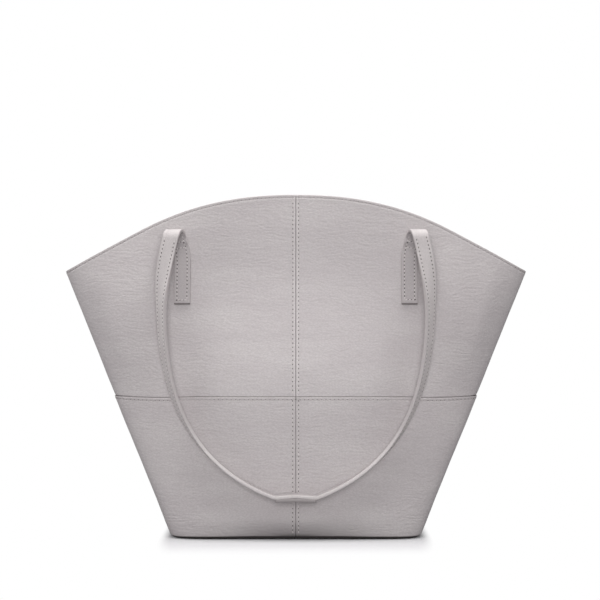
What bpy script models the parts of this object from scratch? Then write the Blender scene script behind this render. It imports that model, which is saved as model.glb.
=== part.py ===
"""A shoulder tote bag in light grey leather, modelled piece by piece at its real size.

The front of the bag faces -Y, +X is to the right of someone who looks at the front, and +Z
is up. The origin is the middle of the base, on the surface that the bag stands on. Units
are metres. Each piece of the back is a front piece turned half round about Z.
"""

import functools
import math

import bmesh
import bpy
from mathutils import Matrix, Vector

# The body of the bag
BASE_WIDTH = 0.241
BASE_DEPTH = 0.150
MOUTH_DEPTH = 0.090
SIDE_LEAN = math.radians(22.95)  # how far each side leans out from upright
RIM_HEIGHT = 0.329
RIM_DROP = 0.0742  # from the top of the rim to its ends at the side seams
RIM_BOW_HALF = 0.150  # from the middle of the rim to where its bow runs out straight
RIM_BOW_DROP = 0.0344
RIM_BOW_POWER = 2.3  # exponent of the bow: 2 is a parabola, more is flatter in the middle
RIM_CORNER_RUN = 0.014  # the last stretch of the rim, which levels out towards its end
BASE_SQUARENESS = 9.0  # exponent of the level section: 2 is an ellipse, more is squarer
MOUTH_SQUARENESS = 3.0
SEAM_HEIGHT = 0.1347
BASE_EDGE_RADIUS = 0.004
BASE_TURN_UNDER = 0.012  # how far the lower panels reach in under the base

# Thickness of each layer
SEAT_GAP = 0.0003
LOWER_LEATHER = 0.0018
UPPER_LEATHER = 0.0018
LAP_STEP = 0.0009  # the lower panels stand this far proud of the upper ones
LAP_HEIGHT = 0.012  # how far the upper panels reach down behind the lower ones
SKIVED_LEATHER = 0.0006
BASE_BOARD = 0.0025
BOARD_MARGIN = 0.0005
LINING = 0.0006
FACING = 0.0016
FACING_HEIGHT = 0.022
TAB_BACKING = 0.0007

# The straps and the tabs that their ends are sewn down as
STRAP_WIDTH = 0.0155
STRAP_THICKNESS = 0.0034
STRAP_EDGE_CHAMFER = 0.0008
TAB_OFFSET = 0.1092  # from the middle of the bag to the middle of a tab
TAB_DROP = 0.0515  # from the top of the rim down to the top of a tab
TAB_LENGTH = 0.0548
TAB_BACKING_MARGIN = 0.008
TAB_BACKING_CLEARANCE = 0.001  # under the rim facing
SPLAY_ANGLE = math.radians(14.04)  # how far the strap leans outwards over the fold
SPLAY_LEAD = 0.0145  # how far below the top of a tab the strap starts to lean
SPLAY_RAMP = 0.015
RISER_HEIGHT = 0.006
RISER_LIFT = 0.0015  # how far the strap has left the face where the fold begins
FOLD_RADIUS = 0.0085
STRAP_DROP = 0.2435  # from the foot of the fold to the middle of the hanging strap
LEG_BOW = 0.0078  # how far the legs spread past the foot of the fold
LEG_BOW_DROP = 0.063
LEG_TOP_HANDLE = 0.020
LEG_SHOULDER_HANDLE = 0.022
LEG_SIDE_HANDLE = 0.083
LEG_LOW_HANDLE = 0.089
LEG_LOW_ANGLE = math.radians(19.6)
HANG_CLEARANCE = 0.001
TWIST_START = 0.010  # along the leg, where it starts to turn edge on
TOP_TWIST = math.radians(45)  # how far it turns quickly, close below the fold
TOP_TWIST_LENGTH = 0.060
TWIST_LENGTH = 0.270
SPLICE_LENGTH = 0.039
SPLICE_BOW = 0.0007
SPLICE_THICKNESS = 0.0034

# Fittings inside
SNAP_RADIUS = 0.008
SNAP_DROP = 0.011  # from the top of the rim to the middle of the snap
SNAP_PLATE = 0.0018
SNAP_PLATE_BEVEL = 0.0005
SNAP_STUD_RADIUS = 0.003
SNAP_STUD_HEIGHT = 0.0018
SNAP_STUD_BEVEL = 0.0006
SNAP_COLLAR_RADIUS = 0.0058
POCKET_WIDTH = 0.180
POCKET_DROP = 0.084  # from the top of the rim down to the mouth of the pocket
POCKET_DEPTH = 0.120
POCKET_CLOTH = 0.0008
POCKET_BINDING = 0.0014
POCKET_BINDING_HEIGHT = 0.012

# How finely curves are divided
SECTION_COLUMNS = 14
SECTION_SAMPLES = 160
RIM_ROUNDS = 6  # rounds of fitting a row to the rim, whose height depends on where it is
UPPER_STEPS = 4
LOWER_STEPS = 3
EDGE_STEPS = 4
LINING_STEPS = 3
TAB_STEPS = 7
RISER_STEPS = 4
STRAP_STEP = 0.0065
FOLD_STEPS = 12
LEG_SAMPLES = 200
SPLICE_STEPS = 8
ROUND_STEPS = 24

TAB_TOP = RIM_HEIGHT - TAB_DROP
TAB_BOTTOM = TAB_TOP - TAB_LENGTH
SPLAY_START = TAB_TOP - SPLAY_LEAD
SPLAY_SLOPE = math.tan(SPLAY_ANGLE)
POCKET_TOP = RIM_HEIGHT - POCKET_DROP
FRONT, BACK = 0.0, math.pi


def linear(red, green, blue):
    """A colour as it is seen, 0 to 255, in the linear values that a shader takes."""
    return [((value / 255 + 0.055) / 1.055) ** 2.4 for value in (red, green, blue)]


def make_material(name, colour, roughness, metallic=0.0):
    material = bpy.data.materials.new(name)
    material.use_nodes = True
    shader = material.node_tree.nodes["Principled BSDF"]
    shader.inputs["Base Color"].default_value = (*colour, 1.0)
    shader.inputs["Roughness"].default_value = roughness
    shader.inputs["Metallic"].default_value = metallic
    material.diffuse_color = (*colour, 1.0)
    return material


def clear_scene():
    for item in list(bpy.data.objects):
        bpy.data.objects.remove(item, do_unlink=True)


def add_empty(name, place):
    """An axis or an origin that pieces hang from, which has no shape of its own."""
    empty = bpy.data.objects.new(name, None)
    empty.location = place
    bpy.context.collection.objects.link(empty)
    return empty


def add_object(name, mesh, material, parent, turn=FRONT):
    """One piece of the bag. A turn of BACK puts a front piece in its place on the back."""
    mesh = mesh.copy() if mesh.users else mesh
    mesh.name = name
    mesh.materials.clear()
    mesh.materials.append(material)
    piece = bpy.data.objects.new(name, mesh)
    piece.rotation_euler.z = turn
    piece.parent = parent
    bpy.context.collection.objects.link(piece)
    return piece


def finish_mesh(name, mesh_data, crease=30):
    """A mesh from a bmesh, facing out, smooth but for edges sharper than the crease."""
    bmesh.ops.recalc_face_normals(mesh_data, faces=mesh_data.faces)
    mesh = bpy.data.meshes.new(name)
    mesh_data.to_mesh(mesh)
    mesh_data.free()
    mesh.shade_smooth()
    mesh.set_sharp_from_angle(angle=math.radians(crease))
    return mesh


def half_width(height):
    return BASE_WIDTH / 2 + math.tan(SIDE_LEAN) * height


def half_depth(height):
    return (BASE_DEPTH + (MOUTH_DEPTH - BASE_DEPTH) * height / RIM_HEIGHT) / 2


def squareness(height):
    share = height / RIM_HEIGHT
    return BASE_SQUARENESS + (MOUTH_SQUARENESS - BASE_SQUARENESS) * share


def rim_height(x):
    """The rim in front view: a bow over the middle, straight shoulders and eased ends."""
    end = half_width(RIM_HEIGHT - RIM_DROP)
    across = min(abs(x), end)
    bow = RIM_BOW_DROP * (min(across, RIM_BOW_HALF) / RIM_BOW_HALF) ** RIM_BOW_POWER
    slope = RIM_BOW_POWER * RIM_BOW_DROP / RIM_BOW_HALF
    straight_drop = RIM_BOW_DROP + slope * (end - RIM_BOW_HALF)
    past = max(0.0, across - end + RIM_CORNER_RUN)
    ease = (straight_drop - RIM_DROP) * (past / RIM_CORNER_RUN) ** 2
    return RIM_HEIGHT - bow - slope * max(0.0, across - RIM_BOW_HALF) + ease


@functools.lru_cache(maxsize=None)
def section(height, inset):
    """The level section at a height, set in from the outside: (x, y) from front to side.

    It is a superellipse. Its points are spaced by length and by turn in equal measure, so
    that the rounded corner gets as many as it needs.
    """
    wide, deep, power = half_width(height) - inset, half_depth(height) - inset, squareness(height)
    points, turns, lengths = [], [], [0.0]
    for sample in range(SECTION_SAMPLES + 1):
        angle = math.pi / 2 * sample / SECTION_SAMPLES
        reach = (math.sin(angle) ** power + math.cos(angle) ** power) ** (-1 / power)
        across, along = reach * math.sin(angle), reach * math.cos(angle)
        points.append((wide * across, -deep * along))
        turns.append(math.atan2(across ** (power - 1) / wide, along ** (power - 1) / deep))
    for before, after in zip(points, points[1:]):
        lengths.append(lengths[-1] + math.dist(before, after))
    marks = [
        (length / lengths[-1] + turn / turns[-1]) / 2 for length, turn in zip(lengths, turns)
    ]
    spaced, sample = [], 0
    for column in range(SECTION_COLUMNS + 1):
        mark = column / SECTION_COLUMNS
        while sample < SECTION_SAMPLES - 1 and marks[sample + 1] < mark:
            sample += 1
        share = (mark - marks[sample]) / (marks[sample + 1] - marks[sample])
        (x0, y0), (x1, y1) = points[sample], points[sample + 1]
        spaced.append((x0 + (x1 - x0) * share, y0 + (y1 - y0) * share))
    return spaced


def quarter_row(level, inset):
    """A row of points round the right half of the front, at a height that may follow the rim."""
    row = []
    for column in range(SECTION_COLUMNS + 1):
        height = level(0.0)
        for _ in range(RIM_ROUNDS):
            x, y = section(round(height, 7), inset)[column]
            height = level(x)
        row.append(Vector((x, y, height)))
    row[-1].y = -SEAT_GAP / 2
    return row


def mirrored(row):
    return [Vector((-point.x, point.y, point.z)) for point in row]


def front_row(level, inset):
    """A row of points round the whole front, from the left side seam to the right one."""
    row = quarter_row(level, inset)
    return mirrored(row)[:0:-1] + row


def at(height):
    return lambda x: height


def below_rim(distance):
    return lambda x: rim_height(x) - distance


def towards_rim(start, share, distance=0.0):
    return lambda x: start + (rim_height(x) - distance - start) * share


def sheet_mesh(name, outer, inner):
    """A sheet of leather or cloth between two grids of points, closed along its four edges."""
    rows, columns = len(outer), len(outer[0])
    data = bmesh.new()
    front = [[data.verts.new(point) for point in row] for row in outer]
    rear = [[data.verts.new(point) for point in row] for row in inner]
    for i in range(rows - 1):
        for j in range(columns - 1):
            data.faces.new((front[i][j], front[i][j + 1], front[i + 1][j + 1], front[i + 1][j]))
            data.faces.new((rear[i][j], rear[i + 1][j], rear[i + 1][j + 1], rear[i][j + 1]))
    for j in range(columns - 1):
        data.faces.new((front[0][j], rear[0][j], rear[0][j + 1], front[0][j + 1]))
        data.faces.new((front[-1][j], front[-1][j + 1], rear[-1][j + 1], rear[-1][j]))
    for i in range(rows - 1):
        data.faces.new((front[i][0], front[i + 1][0], rear[i + 1][0], rear[i][0]))
        data.faces.new((front[i][-1], rear[i][-1], rear[i + 1][-1], front[i + 1][-1]))
    return finish_mesh(name, data)


def slab_mesh(name, outline, low, high):
    """A flat piece, from a closed outline of (x, y) points and its two heights."""
    data = bmesh.new()
    floor = data.faces.new([data.verts.new((x, y, low)) for x, y in outline])
    raised = bmesh.ops.extrude_face_region(data, geom=[floor])
    top = [item for item in raised["geom"] if isinstance(item, bmesh.types.BMVert)]
    bmesh.ops.translate(data, verts=top, vec=(0, 0, high - low))
    return finish_mesh(name, data)


def full_outline(height, inset):
    """The level section all the way round, as one closed outline."""
    quarter = section(height, inset)
    right = quarter + [(x, -y) for x, y in quarter[-2::-1]]
    return right + [(-x, y) for x, y in right[-2:0:-1]]


def loft_mesh(name, frames, profile):
    """A solid swept along frames of (centre, across, facing), with a closed profile."""
    data = bmesh.new()
    loops = [
        [data.verts.new(centre + across * u + facing * v) for u, v in profile]
        for centre, across, facing in frames
    ]
    count = len(profile)
    for start, end in zip(loops, loops[1:]):
        for i in range(count):
            k = (i + 1) % count
            data.faces.new((start[i], start[k], end[k], end[i]))
    data.faces.new(loops[0][::-1])
    data.faces.new(loops[-1])
    return finish_mesh(name, data)


def turned_mesh(name, profile):
    """A round piece, spun about Z from a profile of (radius, height) that ends on the axis."""
    data = bmesh.new()
    points = [data.verts.new((radius, 0, height)) for radius, height in profile]
    edges = [data.edges.new(pair) for pair in zip(points, points[1:])]
    bmesh.ops.spin(
        data,
        geom=points + edges,
        axis=(0, 0, 1),
        angle=2 * math.pi,
        steps=ROUND_STEPS,
        use_merge=True,
    )
    bmesh.ops.remove_doubles(data, verts=data.verts, dist=0.00001)
    return finish_mesh(name, data)


def front_y(x, height, inset=0.0):
    """Where the front face is, at a place that is square on to it."""
    wide, deep, power = half_width(height) - inset, half_depth(height) - inset, squareness(height)
    return -deep * (1 - min(abs(x) / wide, 1.0) ** power) ** (1 / power)


def front_frame(x, height):
    """The front face at a place: the point, the way up along it and the way out of it."""
    step = 0.0005
    along = front_y(x + step, height) - front_y(x - step, height)
    upward = front_y(x, height + step) - front_y(x, height - step)
    out = Vector((along, -2 * step, upward)).normalized()
    rise = Vector((0, upward, 2 * step)).normalized()
    return Vector((x, front_y(x, height), height)), rise, out


def wall_patch(name, half_span, middle, low, high, outer_inset, inner_inset, steps=(6, 4)):
    """A sheet lying inside the front wall, between two heights that may follow the rim."""
    columns, rows = steps
    grids = []
    for inset in (outer_inset, inner_inset):
        grid = []
        for i in range(rows + 1):
            row = []
            for j in range(columns + 1):
                x = middle + half_span * (2 * j / columns - 1)
                height = low(x) + (high(x) - low(x)) * i / rows
                row.append(Vector((x, front_y(x, height, inset), height)))
            grid.append(row)
        grids.append(grid)
    return sheet_mesh(name, *grids)


def strap_profile(width, thickness, middle=0.0):
    """The strap's cross-section, with its edges rounded off, centred at a height `middle`."""
    w, t, c = width / 2, thickness / 2, STRAP_EDGE_CHAMFER
    corners = [(w - c, -t), (w, c - t), (w, t - c), (w - c, t)]
    corners += [(c - w, t), (-w, t - c), (-w, c - t), (c - w, -t)]
    return [(u, v + middle) for u, v in corners]


def splay(distance):
    """How far the strap has moved outwards at a distance above the start of its splay."""
    if distance <= 0:
        return 0.0
    if distance < SPLAY_RAMP:
        return SPLAY_SLOPE * distance**2 / (2 * SPLAY_RAMP)
    return SPLAY_SLOPE * (distance - SPLAY_RAMP / 2)


def splay_slope(distance):
    return SPLAY_SLOPE * max(0.0, min(1.0, distance / SPLAY_RAMP))


def bezier(points, share):
    rest = 1 - share
    weights = (rest**3, 3 * rest**2 * share, 3 * rest * share**2, share**3)
    return sum((point * weight for point, weight in zip(points, weights)), Vector((0, 0)))


def tab_seat():
    """Height of the strap's middle over the outer skin where it is sewn to an upper panel."""
    return SEAT_GAP + STRAP_THICKNESS / 2 - LAP_STEP


def tab_frames():
    """The strap's sewn end on the right, from its cut end to its top row of stitches."""
    frames = []
    for i in range(TAB_STEPS + 1):
        height = TAB_BOTTOM + (TAB_TOP - SEAT_GAP - TAB_BOTTOM) * i / TAB_STEPS
        x = TAB_OFFSET + splay(height - SPLAY_START)
        point, rise, out = front_frame(x, height)
        along = rise + rise.cross(out) * splay_slope(height - SPLAY_START)
        frames.append((point + out * tab_seat(), along.cross(out).normalized(), -out))
    return frames


def fold_path():
    """The strap's route over the fold: (out, up) from the top of the tab, and the way round."""
    lift = tab_seat() + RISER_LIFT
    start, end = Vector((tab_seat(), 0)), Vector((lift, RISER_HEIGHT))
    bend = Vector((0, RISER_HEIGHT / 2))
    route = []
    for i in range(RISER_STEPS):
        route.append(bezier((start, start + bend, end - bend, end), i / RISER_STEPS))
    centre = end + Vector((FOLD_RADIUS, 0))
    for i in range(FOLD_STEPS + 1):
        angle = math.pi * i / FOLD_STEPS
        turned = Vector((-math.cos(angle), math.sin(angle)))
        route.append(centre + turned * FOLD_RADIUS)
    return route


def fold_axis():
    """The point that the strap swings about: the middle of the strap at the top of its fold."""
    x = TAB_OFFSET + splay(TAB_TOP - SPLAY_START)
    point, rise, out = front_frame(x, TAB_TOP)
    centre = point + out * (tab_seat() + RISER_LIFT + FOLD_RADIUS)
    return Vector((0, centre.y, centre.z)) + rise * (RISER_HEIGHT + FOLD_RADIUS)


def fold_frames():
    """The strap from the top of the tab over to the front, where it starts to hang."""
    route, walked = fold_path(), TAB_TOP - SPLAY_START
    base, rise, out = front_frame(TAB_OFFSET + splay(walked), TAB_TOP)
    sideways = rise.cross(out)
    frames = []
    for i, spot in enumerate(route):
        walked += (spot - route[i - 1]).length if i else 0.0
        drift = splay(walked) - splay(TAB_TOP - SPLAY_START)
        centre = base + out * spot.x + rise * spot.y + sideways * drift
        step = route[min(i + 1, len(route) - 1)] - route[i - 1] if i else Vector((0, 1))
        if i == len(route) - 1:
            step = Vector((0, -1))
        step = step.normalized()
        facing = rise * step.x - out * step.y
        along = out * step.x + rise * step.y + sideways * splay_slope(walked)
        frames.append((centre, facing.cross(along).normalized(), facing))
    return frames


def leg_outline():
    """The hanging strap's middle line on the right in front view, from the fold to x = 0."""
    foot = fold_frames()[-1][0]
    widest = Vector((foot.x + LEG_BOW, foot.z - LEG_BOW_DROP))
    low = Vector((SPLICE_LENGTH / 2, foot.z - STRAP_DROP))
    top = Vector((foot.x, foot.z))
    top_handle = top + Vector((SPLAY_SLOPE, -1)) * LEG_TOP_HANDLE
    shoulder = (top, top_handle, widest + Vector((0, LEG_SHOULDER_HANDLE)), widest)
    back = Vector((math.cos(LEG_LOW_ANGLE), math.sin(LEG_LOW_ANGLE))) * LEG_LOW_HANDLE
    side = (widest, widest - Vector((0, LEG_SIDE_HANDLE)), low + back, low)
    dense = [bezier(shoulder, i / LEG_SAMPLES) for i in range(LEG_SAMPLES)]
    dense += [bezier(side, i / LEG_SAMPLES) for i in range(LEG_SAMPLES)]
    for i in range(LEG_SAMPLES + 1):
        share = i / LEG_SAMPLES
        dense.append(Vector((low.x * (1 - share), low.y + SPLICE_BOW * share * (2 - share))))
    return dense


def spaced(line, step):
    """Points at equal steps of about the given length along a line of many points."""
    lengths = [0.0]
    for before, after in zip(line, line[1:]):
        lengths.append(lengths[-1] + (after - before).length)
    count, place, found = max(2, round(lengths[-1] / step)), 0, []
    for i in range(count + 1):
        mark = lengths[-1] * i / count
        while place < len(line) - 2 and lengths[place + 1] < mark:
            place += 1
        span = lengths[place + 1] - lengths[place]
        found.append(line[place].lerp(line[place + 1], (mark - lengths[place]) / span))
    return found


def hang_offset(height, top, bottom):
    """How far in front of the face the strap's middle hangs: close to the face at the bottom."""
    start = tab_seat() + RISER_LIFT + 2 * FOLD_RADIUS
    end = STRAP_WIDTH / 2 + HANG_CLEARANCE
    share = max(0.0, min(1.0, (height - bottom) / (top - bottom)))
    return end + (start - end) * share**2 * (3 - 2 * share)


def twist_at(walked):
    """How far a leg has turned edge on: half of it quickly below the fold, the rest evenly."""
    past = max(0.0, walked - TWIST_START)
    quick = min(1.0, past / TOP_TWIST_LENGTH)
    even = min(1.0, past / TWIST_LENGTH)
    return TOP_TWIST * quick**2 * (3 - 2 * quick) + (math.pi / 2 - TOP_TWIST) * even


def leg_frames():
    """The right half of the hanging strap, which turns edge on as it goes down."""
    foot, foot_across, foot_facing = fold_frames()[-1]
    outline = leg_outline()
    bottom = outline[-1].y
    line = []
    for x, height in outline:
        point, _, out = front_frame(x, height)
        line.append(point + out * hang_offset(height, foot.z, bottom))
    line = [point + (foot - line[0]) * (1 - i / len(line)) for i, point in enumerate(line)]
    stations = spaced(line, STRAP_STEP)
    stations[0] = stations[0].lerp(stations[1], SEAT_GAP / (stations[1] - stations[0]).length)
    frames, walked = [(stations[0], foot_across, foot_facing)], 0.0
    for i in range(1, len(stations)):
        before, after = stations[i - 1], stations[min(i + 1, len(stations) - 1)]
        walked += (stations[i] - before).length
        along = (after - before).normalized() if i < len(stations) - 1 else Vector((-1, 0, 0))
        ahead = Vector((0, -1, 0))
        ahead = (ahead - along * ahead.dot(along)).normalized()
        outward = ahead.cross(along).normalized()
        twist = twist_at(walked)
        across = outward * math.cos(twist) - ahead * math.sin(twist)
        facing = ahead * math.cos(twist) + outward * math.sin(twist)
        frames.append((stations[i], across, facing))
    return frames


def mirror_frames(frames):
    flip = Matrix.Diagonal((-1, 1, 1))
    return [(flip @ centre, flip @ across, flip @ facing) for centre, across, facing in frames]


def moved(frames, offset):
    return [(centre + offset, across, facing) for centre, across, facing in frames]


def upper_panel_mesh(name, side):
    """One upper panel of the front, from the centre seam round to the side seam."""
    outer, inner = LAP_STEP, LAP_STEP + UPPER_LEATHER
    lap_outer = LOWER_LEATHER + SEAT_GAP
    lap_inner = lap_outer + SKIVED_LEATHER
    edge = SEAM_HEIGHT + SEAT_GAP
    outer_rows = [
        quarter_row(at(SEAM_HEIGHT - LAP_HEIGHT), lap_outer),
        quarter_row(at(edge), lap_outer),
    ]
    inner_rows = [
        quarter_row(at(SEAM_HEIGHT - LAP_HEIGHT), lap_inner),
        quarter_row(at(edge), lap_inner),
    ]
    for i in range(UPPER_STEPS + 1):
        outer_rows.append(quarter_row(towards_rim(edge, i / UPPER_STEPS), outer))
        lowest = edge + (SEAT_GAP if i == 0 else 0.0)
        inner_rows.append(quarter_row(towards_rim(lowest, i / UPPER_STEPS), inner))
    return panel_mesh(name, outer_rows, inner_rows, side)


def lower_panel_mesh(name, side):
    """One lower panel of the front, which turns in under the base at its foot."""
    radius, leather = BASE_EDGE_RADIUS, LOWER_LEATHER
    outer_rows, inner_rows = [], []
    outer_rows.append(quarter_row(at(0.0), radius + BASE_TURN_UNDER))
    inner_rows.append(quarter_row(at(leather), radius + BASE_TURN_UNDER))
    for i in range(EDGE_STEPS, 0, -1):
        angle = math.pi / 2 * i / EDGE_STEPS
        across, down = math.cos(angle), math.sin(angle)
        outer_rows.append(quarter_row(at(radius * (1 - down)), radius * (1 - across)))
        inset = radius - (radius - leather) * across
        inner_rows.append(quarter_row(at(radius - (radius - leather) * down), inset))
    for i in range(LOWER_STEPS + 1):
        height = radius + (SEAM_HEIGHT - radius) * i / LOWER_STEPS
        outer_rows.append(quarter_row(at(height), 0.0))
        inner_rows.append(quarter_row(at(height), leather))
    return panel_mesh(name, outer_rows, inner_rows, side)


def panel_mesh(name, outer_rows, inner_rows, side):
    for row in outer_rows + inner_rows:
        row[0].x = SEAT_GAP / 2
    if side < 0:
        outer_rows = [mirrored(row) for row in outer_rows]
        inner_rows = [mirrored(row) for row in inner_rows]
    return sheet_mesh(name, outer_rows, inner_rows)


def lining_insets():
    outer = LAP_STEP + UPPER_LEATHER + TAB_BACKING + 2 * SEAT_GAP
    return outer, outer + LINING


def base_levels():
    """Heights of the layers that lie on the base: the board's foot and top, the lining's foot."""
    board_low = LOWER_LEATHER + SEAT_GAP
    board_high = board_low + BASE_BOARD
    return board_low, board_high, board_high + SEAT_GAP


def lining_mesh(name):
    """The cloth lining of the front wall, from the base up to the leather facing."""
    outer, inner = lining_insets()
    foot = base_levels()[2]
    distance = FACING_HEIGHT + SEAT_GAP
    grids = []
    for inset in (outer, inner):
        shares = [i / LINING_STEPS for i in range(LINING_STEPS + 1)]
        grids.append([front_row(towards_rim(foot, share, distance), inset) for share in shares])
    return sheet_mesh(name, *grids)


def facing_mesh(name):
    """The leather strip that backs the rim on the inside of the mouth."""
    outer = LAP_STEP + UPPER_LEATHER + SEAT_GAP
    grids = []
    for inset in (outer, outer + FACING):
        rows = [front_row(below_rim(FACING_HEIGHT * share), inset) for share in (1.0, 0.5, 0.0)]
        grids.append(rows)
    return sheet_mesh(name, *grids)


def facing_inner_inset():
    return LAP_STEP + UPPER_LEATHER + SEAT_GAP + FACING


def snap_matrix():
    """Seats a round fitting on the inside of the front facing, with its Z axis into the bag."""
    height = RIM_HEIGHT - SNAP_DROP
    _, rise, out = front_frame(0.0, height)
    inward = -out
    seat = Vector((0, front_y(0.0, height, facing_inner_inset()), height)) + inward * SEAT_GAP
    side = rise.cross(inward).normalized()
    turn = Matrix((side, rise, inward)).transposed().to_4x4()
    return Matrix.Translation(seat) @ turn


def snap_stud_mesh(name):
    top = SNAP_PLATE + SNAP_STUD_HEIGHT
    profile = [
        (0, 0),
        (SNAP_RADIUS, 0),
        (SNAP_RADIUS, SNAP_PLATE - SNAP_PLATE_BEVEL),
        (SNAP_RADIUS - SNAP_PLATE_BEVEL, SNAP_PLATE),
        (SNAP_STUD_RADIUS, SNAP_PLATE),
        (SNAP_STUD_RADIUS, top - SNAP_STUD_BEVEL),
        (SNAP_STUD_RADIUS - SNAP_STUD_BEVEL, top),
        (0, top),
    ]
    mesh = turned_mesh(name, profile)
    mesh.transform(snap_matrix())
    return mesh


def snap_socket_mesh(name):
    bore = SNAP_STUD_RADIUS + SEAT_GAP
    top = SNAP_PLATE + SNAP_STUD_HEIGHT
    profile = [
        (0, 0),
        (SNAP_RADIUS, 0),
        (SNAP_RADIUS, SNAP_PLATE - SNAP_PLATE_BEVEL),
        (SNAP_RADIUS - SNAP_PLATE_BEVEL, SNAP_PLATE),
        (SNAP_COLLAR_RADIUS, SNAP_PLATE),
        (SNAP_COLLAR_RADIUS, top),
        (bore, top),
        (bore, SNAP_PLATE),
        (0, SNAP_PLATE),
    ]
    mesh = turned_mesh(name, profile)
    mesh.transform(snap_matrix())
    return mesh


def build_walls(bag, leather):
    for turn, face in ((FRONT, "front"), (BACK, "back")):
        for side, hand in ((-1, "left"), (1, "right")):
            # Seen in plan a half turn swaps left and right, so the back takes the other hand.
            shape = side if turn == FRONT else -side
            upper = upper_panel_mesh(f"{face}_upper_{hand}_panel", shape)
            add_object(f"{face}_upper_{hand}_panel", upper, leather, bag, turn)
            lower = lower_panel_mesh(f"{face}_lower_{hand}_panel", shape)
            add_object(f"{face}_lower_{hand}_panel", lower, leather, bag, turn)


def build_base(bag, leather, board, cloth):
    edge = BASE_EDGE_RADIUS + BASE_TURN_UNDER + SEAT_GAP
    panel = slab_mesh("base_panel", full_outline(0.0, edge), 0.0, LOWER_LEATHER)
    add_object("base_panel", panel, leather, bag)
    board_low, board_high, lining_low = base_levels()
    outline = full_outline(0.0, BASE_EDGE_RADIUS + BOARD_MARGIN)
    add_object("base_board", slab_mesh("base_board", outline, board_low, board_high), board, bag)
    outline = full_outline(lining_low, lining_insets()[1] + SEAT_GAP)
    mesh = slab_mesh("base_lining", outline, lining_low, lining_low + LINING)
    add_object("base_lining", mesh, cloth, bag)


def build_inside(bag, leather, cloth, metal):
    for turn, face in ((FRONT, "front"), (BACK, "back")):
        add_object(f"{face}_lining", lining_mesh(f"{face}_lining"), cloth, bag, turn)
        facing = facing_mesh(f"{face}_rim_facing")
        add_object(f"{face}_rim_facing", facing, leather, bag, turn)
    add_object("snap_stud", snap_stud_mesh("snap_stud"), metal, bag, FRONT)
    add_object("snap_socket", snap_socket_mesh("snap_socket"), metal, bag, BACK)
    seat = lining_insets()[1] + SEAT_GAP
    pocket_top = POCKET_TOP - POCKET_BINDING_HEIGHT
    pocket = wall_patch(
        "inner_pocket",
        POCKET_WIDTH / 2,
        0.0,
        at(POCKET_TOP - POCKET_DEPTH),
        at(pocket_top - SEAT_GAP),
        seat,
        seat + POCKET_CLOTH,
        (10, 3),
    )
    add_object("inner_pocket", pocket, cloth, bag, BACK)
    binding = wall_patch(
        "inner_pocket_binding",
        POCKET_WIDTH / 2,
        0.0,
        at(pocket_top),
        at(POCKET_TOP),
        seat,
        seat + POCKET_BINDING,
        (10, 1),
    )
    add_object("inner_pocket_binding", binding, leather, bag, BACK)


def build_strap_ends(bag, leather, felt):
    """The sewn ends of both straps, the folds above them and the backing behind them."""
    profile = strap_profile(STRAP_WIDTH, STRAP_THICKNESS)
    backing_outer = LAP_STEP + UPPER_LEATHER + SEAT_GAP
    for turn, face in ((FRONT, "front"), (BACK, "back")):
        for side, hand in ((-1, "left"), (1, "right")):
            shape = side if turn == FRONT else -side
            tab, fold = tab_frames(), fold_frames()
            if shape < 0:
                tab, fold = mirror_frames(tab), mirror_frames(fold)
            name = f"{face}_{hand}_strap_tab"
            add_object(name, loft_mesh(name, tab, profile), leather, bag, turn)
            name = f"{face}_{hand}_strap_fold"
            add_object(name, loft_mesh(name, fold, profile), leather, bag, turn)
            name = f"{face}_{hand}_tab_backing"
            backing = wall_patch(
                name,
                STRAP_WIDTH / 2 + TAB_BACKING_MARGIN,
                TAB_OFFSET * shape,
                at(TAB_BOTTOM - TAB_BACKING_MARGIN),
                below_rim(FACING_HEIGHT + TAB_BACKING_CLEARANCE),
                backing_outer,
                backing_outer + TAB_BACKING,
            )
            add_object(name, backing, felt, bag, turn)


def build_straps(leather):
    """Both hanging straps. Each is carried by an empty on the axis that it swings about."""
    axis = fold_axis()
    right = leg_frames()
    frames = moved(mirror_frames(right) + right[-2::-1], -axis)
    strap = loft_mesh("front_strap", frames, strap_profile(STRAP_WIDTH, STRAP_THICKNESS))
    low = leg_outline()[-1].y
    middle = right[-1][0]
    splice = []
    for i in range(SPLICE_STEPS + 1):
        x = SPLICE_LENGTH / 2 * (2 * i / SPLICE_STEPS - 1)
        share = 1 - abs(x) / (SPLICE_LENGTH / 2)
        height = low - SPLICE_BOW * (1 - share) ** 2
        centre = Vector((x, middle.y, height)) - axis
        splice.append((centre, Vector((0, 1, 0)), Vector((0, 0, -1))))
    under = STRAP_THICKNESS / 2 + SEAT_GAP + SPLICE_THICKNESS / 2
    patch = loft_mesh(
        "front_strap_splice", splice, strap_profile(STRAP_WIDTH, SPLICE_THICKNESS, under)
    )
    for turn, face in ((FRONT, "front"), (BACK, "back")):
        place = Matrix.Rotation(turn, 3, "Z") @ axis
        hinge = add_empty(f"{face}_strap_swing", place)
        add_object(f"{face}_strap", strap, leather, hinge, turn)
        add_object(f"{face}_strap_splice", patch, leather, hinge, turn)
    print("strap axis", [round(value, 5) for value in axis])


def main():
    clear_scene()
    leather = make_material("grey_leather", linear(190, 184, 184), 0.55)
    board = make_material("base_board", linear(70, 68, 66), 0.8)
    cloth = make_material("lining_cloth", linear(120, 114, 112), 0.85)
    felt = make_material("tab_backing", linear(150, 146, 140), 0.9)
    metal = make_material("snap_metal", linear(176, 174, 170), 0.3, 1.0)
    bag = add_empty("bag", (0, 0, 0))
    build_walls(bag, leather)
    build_base(bag, leather, board, cloth)
    build_inside(bag, leather, cloth, metal)
    build_strap_ends(bag, leather, felt)
    build_straps(leather)


main()
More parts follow.
